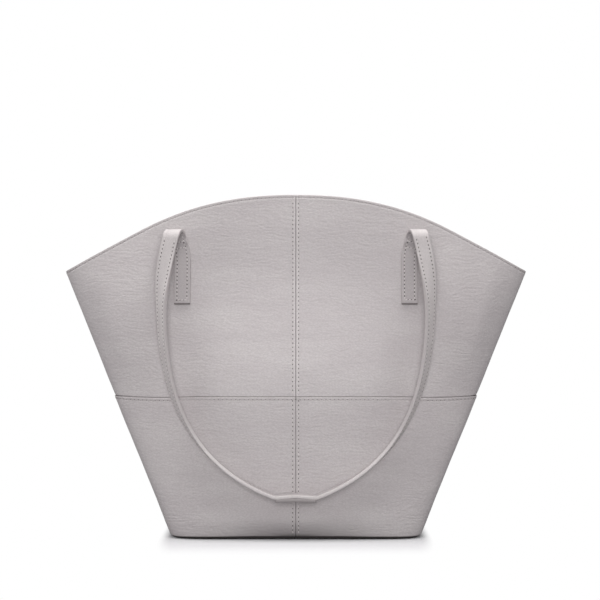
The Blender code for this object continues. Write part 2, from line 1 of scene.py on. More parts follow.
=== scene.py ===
# %% [markdown]
# # A shoulder tote in light grey leather
# The bag is two faces of leather, each cut as four panels, sewn to each other at the sides
# and turned in under a stiff base. Two flat straps are sewn to each face as tabs, fold over
# and hang in front. Its solids are already modelled at real size, and this lesson dresses
# them: every panel, stitch, painted edge and lining is made again finely over them.
# %% Load the plain solids
import math
import random

import bmesh
import bpy
from mathutils import Matrix, Vector, noise


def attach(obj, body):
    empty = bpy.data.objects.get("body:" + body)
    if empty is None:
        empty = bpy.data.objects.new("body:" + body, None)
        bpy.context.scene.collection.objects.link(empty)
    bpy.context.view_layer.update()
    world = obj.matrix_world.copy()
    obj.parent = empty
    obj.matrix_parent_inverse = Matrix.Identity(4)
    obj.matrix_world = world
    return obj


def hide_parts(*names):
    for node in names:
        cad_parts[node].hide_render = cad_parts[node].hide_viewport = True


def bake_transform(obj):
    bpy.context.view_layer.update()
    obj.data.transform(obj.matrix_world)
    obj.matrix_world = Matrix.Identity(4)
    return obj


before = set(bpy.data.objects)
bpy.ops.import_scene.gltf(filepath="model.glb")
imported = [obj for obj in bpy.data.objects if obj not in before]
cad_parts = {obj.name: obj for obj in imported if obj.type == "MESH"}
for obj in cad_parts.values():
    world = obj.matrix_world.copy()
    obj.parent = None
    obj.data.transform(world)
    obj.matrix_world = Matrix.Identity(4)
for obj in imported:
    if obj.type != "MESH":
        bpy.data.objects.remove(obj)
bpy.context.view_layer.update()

# %% [markdown]
# ## The camera
# The photograph was taken level and square on to the front, a little right of the centre
# seam and at about two thirds of the bag's height. From 1.4 m away one pixel of 600 is then
# one millimetre at the middle of the bag.
# %% Set up the camera
CAMERA_PLACE = (0.004, -1.4, 0.227)
LENS_MM = 84
SENSOR_MM = 36

camera_data = bpy.data.cameras.new("photo_camera")
camera_data.lens = LENS_MM
camera_data.sensor_width = SENSOR_MM
camera = bpy.data.objects.new("photo_camera", camera_data)
camera.location = CAMERA_PLACE
camera.rotation_euler = (math.radians(90), 0, 0)
bpy.context.scene.collection.objects.link(camera)
bpy.context.scene.camera = camera
print("camera at", CAMERA_PLACE, "with a", LENS_MM, "mm lens")

# %% [markdown]
# ## Light
# A white studio: a large softbox overhead, which makes the tops of the straps the brightest
# leather, one behind the camera, one behind the bag, two weak ones at the sides and an even
# glow all round. A soft spot from the front lifts the middle of the bag. The view transform
# is Standard, so a colour renders about as it is written.
# %% Hang the lamps
LAMP_AIM = (0.0, 0.0, 0.16)


def softbox(name, place, size, watts, colour):
    """A square lamp that looks at the bag."""
    data = bpy.data.lights.new(name, "AREA")
    data.shape = "SQUARE"
    data.size = size
    data.energy = watts
    data.color = colour
    lamp = bpy.data.objects.new(name, data)
    lamp.location = place
    lamp.rotation_euler = (Vector(LAMP_AIM) - Vector(place)).to_track_quat("-Z", "Y").to_euler()
    bpy.context.scene.collection.objects.link(lamp)
    return lamp


LAMPS = (
    ("overhead_softbox", (0.0, -0.05, 1.40), 1.0, 16.8, (1.0, 0.99, 0.985)),
    ("front_softbox", (0.0, -1.70, 0.45), 0.8, 11.2, (1.0, 0.99, 0.99)),
    ("back_softbox", (0.0, 1.70, 0.45), 0.8, 12.0, (1.0, 0.99, 0.99)),
    ("left_softbox", (-1.50, -0.35, 0.60), 0.8, 5.2, (1.0, 0.99, 0.99)),
    ("right_softbox", (1.50, -0.35, 0.60), 0.8, 2.7, (1.0, 0.99, 0.99)),
)
SPOT_PLACE = (0.0, -1.90, 0.30)
SPOT_AIM = (-0.004, -0.06, 0.19)
SPOT_REACH = 0.11
SPOT_WATTS = 42.0
SPOT_SOFTNESS = 0.12

for lamp in LAMPS:
    softbox(*lamp)
way = Vector(SPOT_AIM) - Vector(SPOT_PLACE)
spot_data = bpy.data.lights.new("soft_spot", "SPOT")
spot_data.energy = SPOT_WATTS
spot_data.shadow_soft_size = SPOT_SOFTNESS
spot_data.spot_blend = 1.0
spot_data.spot_size = 2 * math.atan(SPOT_REACH / way.length)
spot = bpy.data.objects.new("soft_spot", spot_data)
spot.location = SPOT_PLACE
spot.rotation_euler = way.to_track_quat("-Z", "Y").to_euler()
bpy.context.scene.collection.objects.link(spot)
bpy.context.scene.view_settings.view_transform = "Standard"
print("lamps:", [lamp[0] for lamp in LAMPS], "and", spot.name)

# %% [markdown]
# ## How a finish is written down
# Each material is a small tree of shader nodes. Written out by hand that is long, so two
# classes help. The first stands for one socket, and Python's own +, - and * on it add the
# Math nodes.
# %% A class for one socket


class Wire:
    """One output socket. Arithmetic on it adds Math nodes to its finish."""

    def __init__(self, finish, socket):
        self.finish, self.socket = finish, socket

    def reckon(self, operation, *others):
        """A Math node on this socket and then the others."""
        return self.finish.maths(operation, self, *others)

    def __add__(self, other):
        return self.reckon("ADD", other)

    __radd__ = __add__

    def __mul__(self, other):
        return self.reckon("MULTIPLY", other)

    __rmul__ = __mul__

    def __sub__(self, other):
        return self.reckon("SUBTRACT", other)

    def __rsub__(self, other):
        return self.finish.maths("SUBTRACT", other, self)

    def __abs__(self):
        return self.reckon("ABSOLUTE")

    def ramp(self, low, high):
        """0 below low, 1 above high and a smooth step in between."""
        return self.finish.node(
            "ShaderNodeMapRange",
            {"interpolation_type": "SMOOTHSTEP"},
            {"Value": self, "From Min": low, "From Max": high},
        )


print("arithmetic on a", Wire.__name__, "adds nodes")

# %% [markdown]
# The second class is the material itself. It adds any node from its type, its settings and
# its sockets, and it knows the few patterns that the finishes are made of.
# %% A class for one material


class Finish:
    """A material that is being made. Its nodes are wired as they are added."""

    def __init__(self, name):
        self.material = bpy.data.materials.new(name)
        self.material.use_nodes = True
        self.tree = self.material.node_tree
        self.shader = self.tree.nodes["Principled BSDF"]

    def node(self, kind, settings, sockets, output=0):
        made = self.tree.nodes.new(kind)
        for name, value in settings.items():
            setattr(made, name, value)
        for key, value in sockets.items():
            self.plug(made.inputs[key], value)
        return Wire(self, made.outputs[output])

    def plug(self, socket, value):
        if isinstance(value, Wire):
            self.tree.links.new(value.socket, socket)
        else:
            socket.default_value = value

    def maths(self, operation, *terms):
        return self.node("ShaderNodeMath", {"operation": operation}, dict(enumerate(terms)))

    def vector_maths(self, operation, *terms):
        """For places and colours, which a Math node would turn into one number."""
        return self.node("ShaderNodeVectorMath", {"operation": operation}, dict(enumerate(terms)))

    def surface(self, sockets):
        for name, value in sockets.items():
            self.plug(self.shader.inputs[name], value)
        return self.material

    def place_mm(self, stretch=(1.0, 1.0, 1.0)):
        """The place on the object in millimetres, stretched along X, Y and Z."""
        place = self.node("ShaderNodeTexCoord", {}, {}, "Object")
        return self.vector_maths("MULTIPLY", place, tuple(1000.0 * share for share in stretch))

    def along_mm(self, stretch=(1.0, 1.0)):
        """The place along and across a piece in millimetres, from its UV map."""
        place = self.node("ShaderNodeTexCoord", {}, {}, "UV")
        scale = (1000.0 * stretch[0], 1000.0 * stretch[1], 1.0)
        return self.vector_maths("MULTIPLY", place, scale)

    def axis(self, place, letter):
        return self.node("ShaderNodeSeparateXYZ", {}, {0: place}, letter)

    def noise(self, place, size_mm, detail=2.0, roughness=0.5):
        sockets = {"Vector": place, "Scale": 1 / size_mm, "Detail": detail, "Roughness": roughness}
        return self.node("ShaderNodeTexNoise", {}, sockets)

    def push(self, place, amount_mm, size_mm, swirl_place=None):
        """Moves each place a little, so that a pattern on it isn't regular."""
        sockets = {"Vector": swirl_place or place, "Scale": 1 / size_mm, "Detail": 1.0}
        swirl = self.node("ShaderNodeTexNoise", {}, sockets, "Color")
        return self.vector_maths("MULTIPLY_ADD", swirl, (amount_mm, amount_mm, amount_mm), place)

    def from_crease(self, place, size_mm):
        """How far a place is from the nearest border between cells of noise."""
        sockets = {"Vector": place, "Scale": 1 / size_mm}
        return self.node("ShaderNodeTexVoronoi", {"feature": "DISTANCE_TO_EDGE"}, sockets)

    def attribute(self, name):
        return self.node("ShaderNodeAttribute", {"attribute_name": name}, {}, "Fac")

    def mix(self, share, first, second):
        sockets = {0: share, 6: first, 7: second}
        return self.node("ShaderNodeMix", {"data_type": "RGBA"}, sockets, 2)

    def bump(self, height, millimetres):
        sockets = {"Height": height, "Strength": 1.0, "Distance": millimetres / 1000}
        return self.node("ShaderNodeBump", {}, sockets)


def shade(red, green, blue):
    """A colour read as 0 to 255, in the linear values that a shader takes."""
    return (*(((value / 255 + 0.055) / 1.055) ** 2.4 for value in (red, green, blue)), 1.0)


print("a", Finish.__name__, "is ready to be written")

# %% [markdown]
# ## The floor and the white all round
# The photograph's ground is pure white with a soft shadow close to the bag. The floor is a
# matt white sheet, and further out, seen straight from the camera only, it glows up to
# white, so that its horizon disappears. The glow adds no light to the bag.
# %% Make the floor
FLOOR_SIZE = 12.0
FLOOR_WHITE = (0.77, 0.77, 0.785, 1.0)
FLOOR_BOUNCE = (0.30, 0.30, 0.31, 1.0)
BASE_HALF_MM = (112.0, 68.0, 0.0)
GLOW_NEAR_MM = 34.0
GLOW_FAR_MM = 95.0
GLOW_SIDES = (5.0, 1.0, 1.0)

bpy.ops.object.select_all(action="DESELECT")
bpy.ops.mesh.primitive_plane_add(size=FLOOR_SIZE)
floor = bpy.context.object
floor.name = "studio_floor"

white = Finish("studio_floor")
outside = white.vector_maths("ABSOLUTE", white.place_mm())
outside = white.vector_maths("SUBTRACT", outside, BASE_HALF_MM)
outside = white.vector_maths("MAXIMUM", outside, (0.0, 0.0, 0.0))
outside = white.vector_maths("MULTIPLY", outside, GLOW_SIDES)
distance = white.node("ShaderNodeVectorMath", {"operation": "LENGTH"}, {0: outside}, "Value")
seen = white.node("ShaderNodeLightPath", {}, {}, "Is Camera Ray")
glow = distance.ramp(GLOW_NEAR_MM, GLOW_FAR_MM) * seen
glow_shader = white.node("ShaderNodeEmission", {}, {"Color": (1, 1, 1, 1), "Strength": 1.0})
paper = white.mix(seen, FLOOR_BOUNCE, FLOOR_WHITE)
white.surface({"Base Color": paper, "Roughness": 0.9, "Specular IOR Level": 0.1})
matt = Wire(white, white.shader.outputs["BSDF"])
covered = white.node("ShaderNodeMixShader", {}, {0: glow, 1: matt, 2: glow_shader})
white.plug(white.tree.nodes["Material Output"].inputs["Surface"], covered)
floor.data.materials.append(white.material)
print("floor:", floor.name, FLOOR_SIZE, "m wide")

# %% [markdown]
# The surroundings are white where they are seen straight, in a reflection or through
# something, and only a weak even glow as a light. The world is no material, so its few
# nodes are wired one by one.
# %% Light the surroundings
SURROUND_STRENGTH = 0.30

world = bpy.data.worlds.new("studio")
world.use_nodes = True
bpy.context.scene.world = world
world_nodes, wires = world.node_tree.nodes, world.node_tree.links
paths = world_nodes.new("ShaderNodeLightPath")
shown = paths.outputs["Is Camera Ray"]
for ray in ("Is Glossy Ray", "Is Transmission Ray"):
    either = world_nodes.new("ShaderNodeMath")
    either.operation = "MAXIMUM"
    wires.new(shown, either.inputs[0])
    wires.new(paths.outputs[ray], either.inputs[1])
    shown = either.outputs[0]
level = world_nodes.new("ShaderNodeMapRange")
level.inputs["To Min"].default_value = SURROUND_STRENGTH
level.inputs["To Max"].default_value = 1.0
wires.new(shown, level.inputs["Value"])
surround = world_nodes["Background"]
surround.inputs["Color"].default_value = (1, 1, 1, 1)
wires.new(level.outputs["Result"], surround.inputs["Strength"])
print("surroundings glow at", SURROUND_STRENGTH)

# %% [markdown]
# ## Leather
# The bag's leather is dyed a warm light grey and has a fine natural grain: small pebbles
# with thin creases between them, drawn out level, over longer and softer ripples. Cells of
# noise give the pebbles, stretched noise gives the ripples, and both are in millimetres on
# the object. The creases are drawn a little darker and shine less than the pebble tops. Where
# a panel is pulled over a crest beside the centre seam or under the rim it is drawn paler,
# partly as stretched leather and partly as a painted highlight. Along the foot, where it
# turns under, it is drawn dark as painted shade. Each point of a panel holds how much of each.
# %% Recipe for leather
# Paler crests, partly stretched leather and partly a painted highlight.
LEATHER_PALE_CREST_AND_HIGHLIGHT = shade(206, 201, 201)
# Painted shade for the foot, where the leather turns under the base.
LEATHER_PAINTED_FOOT_SHADE = shade(58, 54, 54)
PEBBLE_MM = 1.0
PEBBLE_RELIEF = 0.030
PEBBLE_PUSH_MM = 0.7
PEBBLE_SWIRL_MM = 1.9
CREASE_SHARE = 0.26
# How much darker the creases of the grain are drawn.
CREASE_DARKENING = 0.36
PORE_MM = 0.3
PORE_RELIEF = 0.012
SWAY_MM = 8.0
SWAY_SIZE_MM = 22.0
SWAY_STRETCH = (3.2, 3.2, 1.0)
RIPPLE_STRETCH = (1.1, 1.1, 1.0)
CLOUD_MM = 26.0
CLOUD_EDGES = (0.32, 0.72)
LEATHER_ROUGHNESS = 0.52


def grain(finish, place, ripple_mm, ripple_height):
    """The height of the leather's surface in mm and how flat each place is, from 0 in a crease."""
    loose = finish.push(place, PEBBLE_PUSH_MM, PEBBLE_SWIRL_MM)
    flat = finish.from_crease(loose, PEBBLE_MM).ramp(0.0, CREASE_SHARE)
    drawn_out = finish.vector_maths("MULTIPLY", place, SWAY_STRETCH)
    swayed = finish.push(place, SWAY_MM, SWAY_SIZE_MM, drawn_out)
    swayed = finish.vector_maths("MULTIPLY", swayed, RIPPLE_STRETCH)
    ripples = finish.noise(swayed, ripple_mm, 0.4)
    pores = finish.noise(place, PORE_MM, 1.0)
    height = flat * PEBBLE_RELIEF + ripples * ripple_height + pores * PORE_RELIEF
    return height, flat


def leather(name, place_of, tones, ripple_mm=2.0, ripple_height=0.42):
    """Leather in three tones: its own, a paler one in clouds and a deeper one in the creases."""
    usual, pale, deep = tones
    finish = Finish(name)
    place = place_of(finish)
    height, flat = grain(finish, place, ripple_mm, ripple_height)
    cloudy = finish.noise(place, CLOUD_MM, detail=3.0, roughness=0.6)
    tone = finish.mix(cloudy.ramp(*CLOUD_EDGES), usual, pale)
    # Paler crests: partly stretched leather, partly a painted highlight.
    tone = finish.mix(finish.attribute("crest"), tone, LEATHER_PALE_CREST_AND_HIGHLIGHT)
    # Painted shade at the foot, where the leather turns under.
    painted_foot_shade = finish.attribute("painted_foot_shade")
    tone = finish.mix(painted_foot_shade, tone, LEATHER_PAINTED_FOOT_SHADE)
    colour = finish.mix((1 - flat) * (1 - painted_foot_shade) * CREASE_DARKENING, tone, deep)
    sockets = {"Base Color": colour, "Specular IOR Level": 0.35}
    sockets["Roughness"] = LEATHER_ROUGHNESS + (1 - flat) * 0.12 + cloudy * 0.06
    sockets["Normal"] = finish.bump(height, 1.0)
    return finish.surface(sockets)


print("leather has pebbles of", PEBBLE_MM, "mm")

# %% [markdown]
# On the panels the grain is drawn out level. A strap was cut along the grain, so on it the
# pattern follows the strap's own map. Its front is drawn a little lighter as painted light,
# and its inner layer darker as painted shade.
# %% Mix the leathers
LEATHER_DEEP = shade(160, 153, 154)
PANEL_TONES = (shade(187, 181, 182), shade(195, 190, 190), LEATHER_DEEP)
# The strap's front is drawn lighter than the panels as painted light, and its back darker as
# painted shade.
STRAP_LIT_TONES = (shade(194, 188, 188), shade(202, 197, 196), shade(167, 160, 161))
STRAP_BACK_SHADED_TONES = (shade(173, 167, 168), shade(180, 174, 174), shade(146, 140, 141))
PANEL_STRETCH = (0.31, 0.31, 1.0)
STRAP_STRETCH = (1.0, 0.7)
STRAP_RIPPLE = (1.8, 0.10)


def level_grain(finish):
    """Grain on the panels, drawn out along X."""
    return finish.place_mm(PANEL_STRETCH)


def strap_grain(finish):
    """Grain on a strap, drawn out along it, from the strap's own map."""
    return finish.along_mm(STRAP_STRETCH)


panel_leather = leather("panel_leather", level_grain, PANEL_TONES)
strap_leather = leather("strap_leather_finish", strap_grain, STRAP_LIT_TONES, *STRAP_RIPPLE)
strap_back_shaded_leather = leather("strap_back_shaded_leather", strap_grain, STRAP_BACK_SHADED_TONES, *STRAP_RIPPLE)
print("leathers:", panel_leather.name, strap_leather.name, strap_back_shaded_leather.name)

# %% [markdown]
# ## Edge paint, thread and cloth
# Cut edges of leather are sealed with a thick satin paint a little off the leather's colour.
# On the straps it is drawn palest along the bottom of the loop, a painted highlight where the
# edge faces up to the light, and darker up the legs as painted shade. The thread is a waxed
# polyester cord in two twisted plies, drawn a little darker along the rim and the level seam
# as painted shade of the furrow it lies deep in. The lining is a plain woven cotton, and the
# backing behind each tab is felt.
# %% Recipes for the other finishes
# The strap edge paint goes from a painted highlight below the first height to painted shade above
# the second.
HIGHLIGHT_BELOW_MM = 72.0
SHADE_ABOVE_MM = 118.0
DAB_MM = 2.2
DAB_RELIEF_MM = 0.12
PLY_TURN = 5.2
PLY_RELIEF_MM = 0.08
SLUB_MM = 4.0


def edge_paint(name, colour, calm=None):
    """Satin paint in one colour, or paler low down as a painted highlight and in a darker second
    colour on its way up as painted shade.
    """
    finish = Finish(name)
    place = finish.place_mm()
    dabs = finish.noise(place, DAB_MM, detail=2.0, roughness=0.6)
    if calm:
        up_the_leg = finish.axis(place, "Z").ramp(HIGHLIGHT_BELOW_MM, SHADE_ABOVE_MM)
        colour = finish.mix(up_the_leg, colour, calm)
    tone = finish.mix(dabs * 0.5, colour, LEATHER_DEEP)
    sockets = {"Base Color": tone, "Roughness": 0.38 + dabs * 0.16}
    sockets["Normal"] = finish.bump(dabs, DAB_RELIEF_MM)
    return finish.surface(sockets)


def waxed_thread(name, colour, shadowed):
    """Two plies twisted round each other, seen as slanting bands of light and dark."""
    finish = Finish(name)
    place = finish.along_mm()
    turned = finish.axis(place, "X") * PLY_TURN + finish.axis(place, "Y") * PLY_TURN
    plies = turned.reckon("SINE") * 0.5 + 0.5
    tone = finish.mix(plies * 0.75 + 0.25, shadowed, colour)
    sockets = {"Base Color": tone, "Roughness": 0.62 - plies * 0.1}
    sockets["Normal"] = finish.bump(plies, PLY_RELIEF_MM)
    return finish.surface(sockets)


def woven(name, colour, deep, yarn_mm, relief_mm):
    """Plain weave: at each place the higher of the warp and the weft is seen."""
    finish = Finish(name)
    place = finish.place_mm()
    warp, weft = [finish.axis(place, letter) * (math.pi / yarn_mm) for letter in "XZ"]
    over = abs(warp.reckon("SINE")) * abs(weft.reckon("COSINE"))
    under = abs(warp.reckon("COSINE")) * abs(weft.reckon("SINE"))
    yarns = over.reckon("MAXIMUM", under)
    slubs = finish.noise(place, SLUB_MM, detail=3.0, roughness=0.6)
    tone = finish.mix(yarns * 0.7 + slubs * 0.3, deep, colour)
    sockets = {"Base Color": tone, "Roughness": 0.86 - yarns * 0.08}
    sockets["Normal"] = finish.bump(yarns + slubs * 0.3, relief_mm)
    return finish.surface(sockets)


def plain(name, colour, deep, size_mm, roughness, relief_mm, metallic=0.0):
    """Felt, board, plated metal or a dark hole: one colour broken up by fine specks."""
    finish = Finish(name)
    specks = finish.noise(finish.place_mm(), size_mm, detail=3.0, roughness=0.65)
    sockets = {"Base Color": finish.mix(specks, deep, colour), "Metallic": metallic}
    sockets["Roughness"] = roughness + specks * 0.12
    sockets["Normal"] = finish.bump(specks, relief_mm)
    return finish.surface(sockets)


print("recipes for paint, thread, cloth and plain things")

# %% [markdown]
# Each recipe is now used for the colours that the bag needs. A colour is written as it is
# read in the photograph, from 0 to 255, then set a little lighter or darker until its render
# agrees.
# %% Mix the other finishes
# Strap edges: pale at the bottom of the loop as a painted highlight, darker up the legs as painted
# shade.
strap_edge_paint = edge_paint("strap_edge_paint", shade(212, 206, 205), shade(173, 167, 167))
# The dark cut ends are partly edge paint and partly painted shadow under each tab's end.
strap_end_paint = edge_paint("strap_end_paint", shade(112, 106, 106))
rim_edge_paint = edge_paint("rim_edge_paint", shade(190, 184, 184))
# The splice's sides are drawn dark as painted shade under the strap.
splice_edge_paint = edge_paint("splice_edge_paint", shade(142, 136, 136))
splice_end_paint = edge_paint("splice_end_paint", shade(128, 122, 122))
thread = waxed_thread("thread", shade(222, 217, 215), shade(180, 173, 172))
# Thread of the rim and level rows, drawn darker as painted shade of the furrow it lies in.
furrow_shade_thread = waxed_thread("furrow_shade_thread", shade(180, 174, 173), shade(150, 144, 144))
# Each needle hole is drawn dark as painted shade inside it.
needle_hole = plain("needle_hole", shade(58, 53, 53), shade(42, 39, 39), 0.6, 0.85, 0.02)
# A less dark hole for the rows in furrows, still painted shade.
calm_hole = plain("calm_needle_hole", shade(112, 106, 106), shade(96, 90, 90), 0.6, 0.85, 0.02)
lining_cloth = woven("lining_cloth", shade(134, 127, 124), shade(98, 92, 90), 0.55, 0.10)
felt = plain("backing_felt", shade(150, 146, 140), shade(116, 112, 106), 0.5, 0.88, 0.2)
board = plain("base_board", shade(72, 70, 68), shade(52, 50, 49), 0.8, 0.78, 0.08)
nickel = plain("snap_metal", shade(200, 198, 194), shade(178, 175, 170), 0.3, 0.22, 0.01, 1.0)
print("finishes:", len(bpy.data.materials))

# %% [markdown]
# ## The form of the bag
# Seen from above, each level of the bag is a rounded rectangle: boxy at the base, nearly
# oval at the mouth. It widens and grows shallower on the way up, and the mouth is cut off
# along an arc. It could be cut from a block with a knife and a brush, but a few rules that
# give the place of any point of the leather let every panel, seam and stitch agree.
# %% Rules for the form
BASE_WIDTH = 0.241
BASE_DEPTH = 0.150
MOUTH_DEPTH = 0.090
SIDE_LEAN = math.radians(22.95)
RIM_HEIGHT = 0.329
RIM_DROP = 0.0742
RIM_BOW_HALF = 0.150
RIM_BOW_DROP = 0.0344
RIM_BOW_POWER = 2.3
RIM_CORNER_RUN = 0.014
BASE_SQUARENESS = 9.0
MOUTH_SQUARENESS = 3.0
SEAM_HEIGHT = 0.1347
FRONT, BACK = 1, -1
FACES = ((FRONT, "front"), (BACK, "back"))


def half_width(height):
    """Half of the bag's width at a height."""
    return BASE_WIDTH / 2 + math.tan(SIDE_LEAN) * height


def half_depth(height):
    """Half of the bag's depth at a height."""
    return (BASE_DEPTH + (MOUTH_DEPTH - BASE_DEPTH) * height / RIM_HEIGHT) / 2


def squareness(height):
    """The power of the rounded rectangle at a height: boxy where it is high."""
    return BASE_SQUARENESS + (MOUTH_SQUARENESS - BASE_SQUARENESS) * height / RIM_HEIGHT


def rim_height(x):
    """The rim in front view: a bow over the middle, straight shoulders and eased ends."""
    end = half_width(RIM_HEIGHT - RIM_DROP)
    across = min(abs(x), end)
    bow = RIM_BOW_DROP * (min(across, RIM_BOW_HALF) / RIM_BOW_HALF) ** RIM_BOW_POWER
    slope = RIM_BOW_POWER * RIM_BOW_DROP / RIM_BOW_HALF
    straight_drop = RIM_BOW_DROP + slope * (end - RIM_BOW_HALF)
    past = max(0.0, across - end + RIM_CORNER_RUN)
    ease = (straight_drop - RIM_DROP) * (past / RIM_CORNER_RUN) ** 2
    return RIM_HEIGHT - bow - slope * max(0.0, across - RIM_BOW_HALF) + ease


def wall(turn, height, inset=0.0):
    """A point of the front, set in from its outside. A turn of 0 is the middle, 90 the right."""
    wide, deep, power = half_width(height) - inset, half_depth(height) - inset, squareness(height)
    across, ahead = math.sin(turn), max(math.cos(turn), 0.0)
    reach = (across**power + ahead**power) ** (-1 / power)
    return Vector((wide * reach * across, -deep * reach * ahead, height))


print("mouth", round(2 * half_width(RIM_HEIGHT - RIM_DROP), 4), "m across")

# %% [markdown]
# The soft walls aren't quite flat. The middle bows out at the level seam and in above it,
# the outer parts bow out below the rim, and the leather has slow hills and hollows. The level
# seam sags a little between the middle and the sides.
# %% Rules for the limp walls
MIDDLE_BOW = ((0.072, 0.0), (0.150, -0.0060), (0.250, 0.0022), (0.303, 0.0))
MIDDLE_BOW_REACH = 0.070
MIDDLE_BOW_FADE = 0.045
SIDE_BOW = 0.0072
SIDE_BOW_INNER = 0.115
SIDE_BOW_RAMP = 0.035
SIDE_BOW_CORNER = 0.80
SIDE_BOW_CORNER_FADE = 0.17
SIDE_BOW_START = 0.0032
SIDE_BOW_TOP = 0.080
SIDE_BOW_FALL = 0.088
SEAM_SAG = 0.0011
SEAM_SAG_PLACE = 0.132
SEAM_SAG_WIDTH = 0.030
HILLS = 13
HILLS_UP = 15
HILL_SHIFT = 5
HILL_HEIGHT = 0.0007
HOLLOWS = 2.7
HOLLOW_DEPTH = 0.00022


def smooth(share):
    """0 to 1 with a soft start and a soft end."""
    share = min(max(share, 0.0), 1.0)
    return share * share * (3 - 2 * share)


def hump(distance, middle, width):
    """1 at the middle and softly down to 0 on both sides of it."""
    return math.exp(-(((distance - middle) / width) ** 2))


def bent(bends, height):
    """A soft line through bends, each a height and an inset, and nothing beyond them."""
    for (low, first), (high, last) in zip(bends, bends[1:]):
        if low <= height <= high:
            return first + (last - first) * smooth((height - low) / (high - low))
    return 0.0


def bow(x, height):
    """How far the wall bows inwards. It bows outwards where this is negative."""
    across = abs(x)
    middle = 1 - smooth((across - MIDDLE_BOW_REACH) / MIDDLE_BOW_FADE)
    to_corner = smooth((across / half_width(height) - SIDE_BOW_CORNER) / SIDE_BOW_CORNER_FADE)
    side = smooth((across - SIDE_BOW_INNER) / SIDE_BOW_RAMP) * (1 - to_corner)
    under_rim = rim_height(x) - height - SIDE_BOW_START
    rise = math.sin(math.pi / 2 * min(max(under_rim / SIDE_BOW_TOP, 0.0), 1.0))
    fall = 1 - smooth((under_rim - SIDE_BOW_TOP) / SIDE_BOW_FALL)
    return middle * bent(MIDDLE_BOW, height) - side * SIDE_BOW * rise * fall


def seam_line(x):
    """The height of the level seam, which sags a little towards the sides."""
    return SEAM_HEIGHT - SEAM_SAG * hump(abs(x), SEAM_SAG_PLACE, SEAM_SAG_WIDTH)


def unevenness(x, y, height):
    """The slow hills of hand-cut leather and the smaller hollows on them, in metres."""
    here = Vector((x * HILLS, y * HILLS + HILL_SHIFT, height * HILLS_UP))
    return noise.noise(here) * HILL_HEIGHT + noise.noise(here * HOLLOWS) * HOLLOW_DEPTH


print("the middle bows in by", [inset for _, inset in MIDDLE_BOW], "at", len(MIDDLE_BOW), "heights")

# %% [markdown]
# ## A panel of leather
# A panel starts as a flat grid, like leather on the cutting table, and every point of the
# grid is then carried to its place on the bag. Its columns run up the bag and its rows run
# round it. Both are close together at seams, where the leather dips, and far apart where it
# is smooth. Solidify then gives the sheet its thickness.
# %% Cut a grid and carry it into place


def select_only(piece):
    bpy.ops.object.select_all(action="DESELECT")
    piece.select_set(True)
    bpy.context.view_layer.objects.active = piece


def cut_grid(name, columns, rows, place_of, map_of=None):
    """A flat grid of columns by rows faces, with each of its points carried to its place."""
    bpy.ops.object.select_all(action="DESELECT")
    bpy.ops.mesh.primitive_grid_add(x_subdivisions=columns, y_subdivisions=rows, size=2)
    piece = bpy.context.object
    piece.name = piece.data.name = name
    spots = []
    for point in piece.data.vertices:
        column = round((point.co.x + 1) / 2 * columns)
        row = round((point.co.y + 1) / 2 * rows)
        spots.append((column, row))
        point.co = place_of(column, row)
    if map_of:
        chart = piece.data.uv_layers.active.data
        for loop in piece.data.loops:
            chart[loop.index].uv = map_of(*spots[loop.vertex_index])
    return piece


def thicken(piece, thickness):
    """Gives a sheet its thickness, away from the side that its faces look to."""
    select_only(piece)
    solid = piece.modifiers.new("thickness", "SOLIDIFY")
    solid.thickness = thickness
    solid.offset = -1.0
    bpy.ops.object.modifier_apply(modifier=solid.name)


def finish_piece(piece, *materials, crease=35):
    piece.data.materials.clear()
    for material in materials:
        piece.data.materials.append(material)
    select_only(piece)
    bpy.ops.object.shade_smooth_by_angle(angle=math.radians(crease))
    return piece


def turn_to_back(piece):
    """Carries a front piece half round to the back, in its mesh."""
    piece.data.transform(Matrix.Rotation(math.pi, 4, "Z"))
    return piece


print("ready to cut leather")

# %% [markdown]
# ## Where the columns of a panel lie
# A column is named by what keeps it in place: a distance from the centre seam, a share of
# the flat front, a turn round the rounded corner, or a distance from the side seam. All the
# panels have the same columns, so they meet point by point at the seams.
# %% Name the columns
SEAM_STEPS_MM = (0.15, 0.35, 0.6, 0.9, 1.3, 1.7, 2.1, 2.4, 2.7, 3.0, 3.3, 3.7, 4.3, 5.2, 6.6, 8.5)
EDGE_STEPS_MM = (0.25, 0.55, 0.9, 1.3, 1.7, 2.1, 2.4, 2.7, 3.0, 3.3, 3.7, 4.3, 5.2, 6.6, 9.0, 12.5)
SIDE_STEPS_MM = (4.0, 2.6, 1.6, 0.9, 0.45, 0.15, 0.0)
FIRST_SHARE = 0.078
FLAT_SHARE = 0.80
LAST_SHARE = 0.10
CORNER = math.atan(FLAT_SHARE)


def steps(first, last, count):
    """Evenly spaced values, without the last one."""
    return [first + (last - first) * i / count for i in range(count)]


COLUMNS = [("seam", mm / 1000) for mm in SEAM_STEPS_MM]
COLUMNS += [("share", share) for share in steps(FIRST_SHARE, FLAT_SHARE, 30)]
COLUMNS += [("turn", turn) for turn in steps(CORNER, math.pi / 2 - CORNER, 16)]
COLUMNS += [("side", share) for share in steps(FLAT_SHARE, LAST_SHARE, 7)]
COLUMNS += [("edge", mm / 1000) for mm in SIDE_STEPS_MM]


def column_turn(column, height):
    """The turn at which a column crosses a height."""
    kind, value = column
    if kind == "seam":
        return math.atan2(value, half_width(height))
    if kind == "share":
        return math.atan(value)
    if kind == "turn":
        return value
    if kind == "side":
        return math.pi / 2 - math.atan(value)
    return math.pi / 2 - math.atan2(value, half_depth(height))


print(len(COLUMNS), "columns from the centre seam to the side seam")

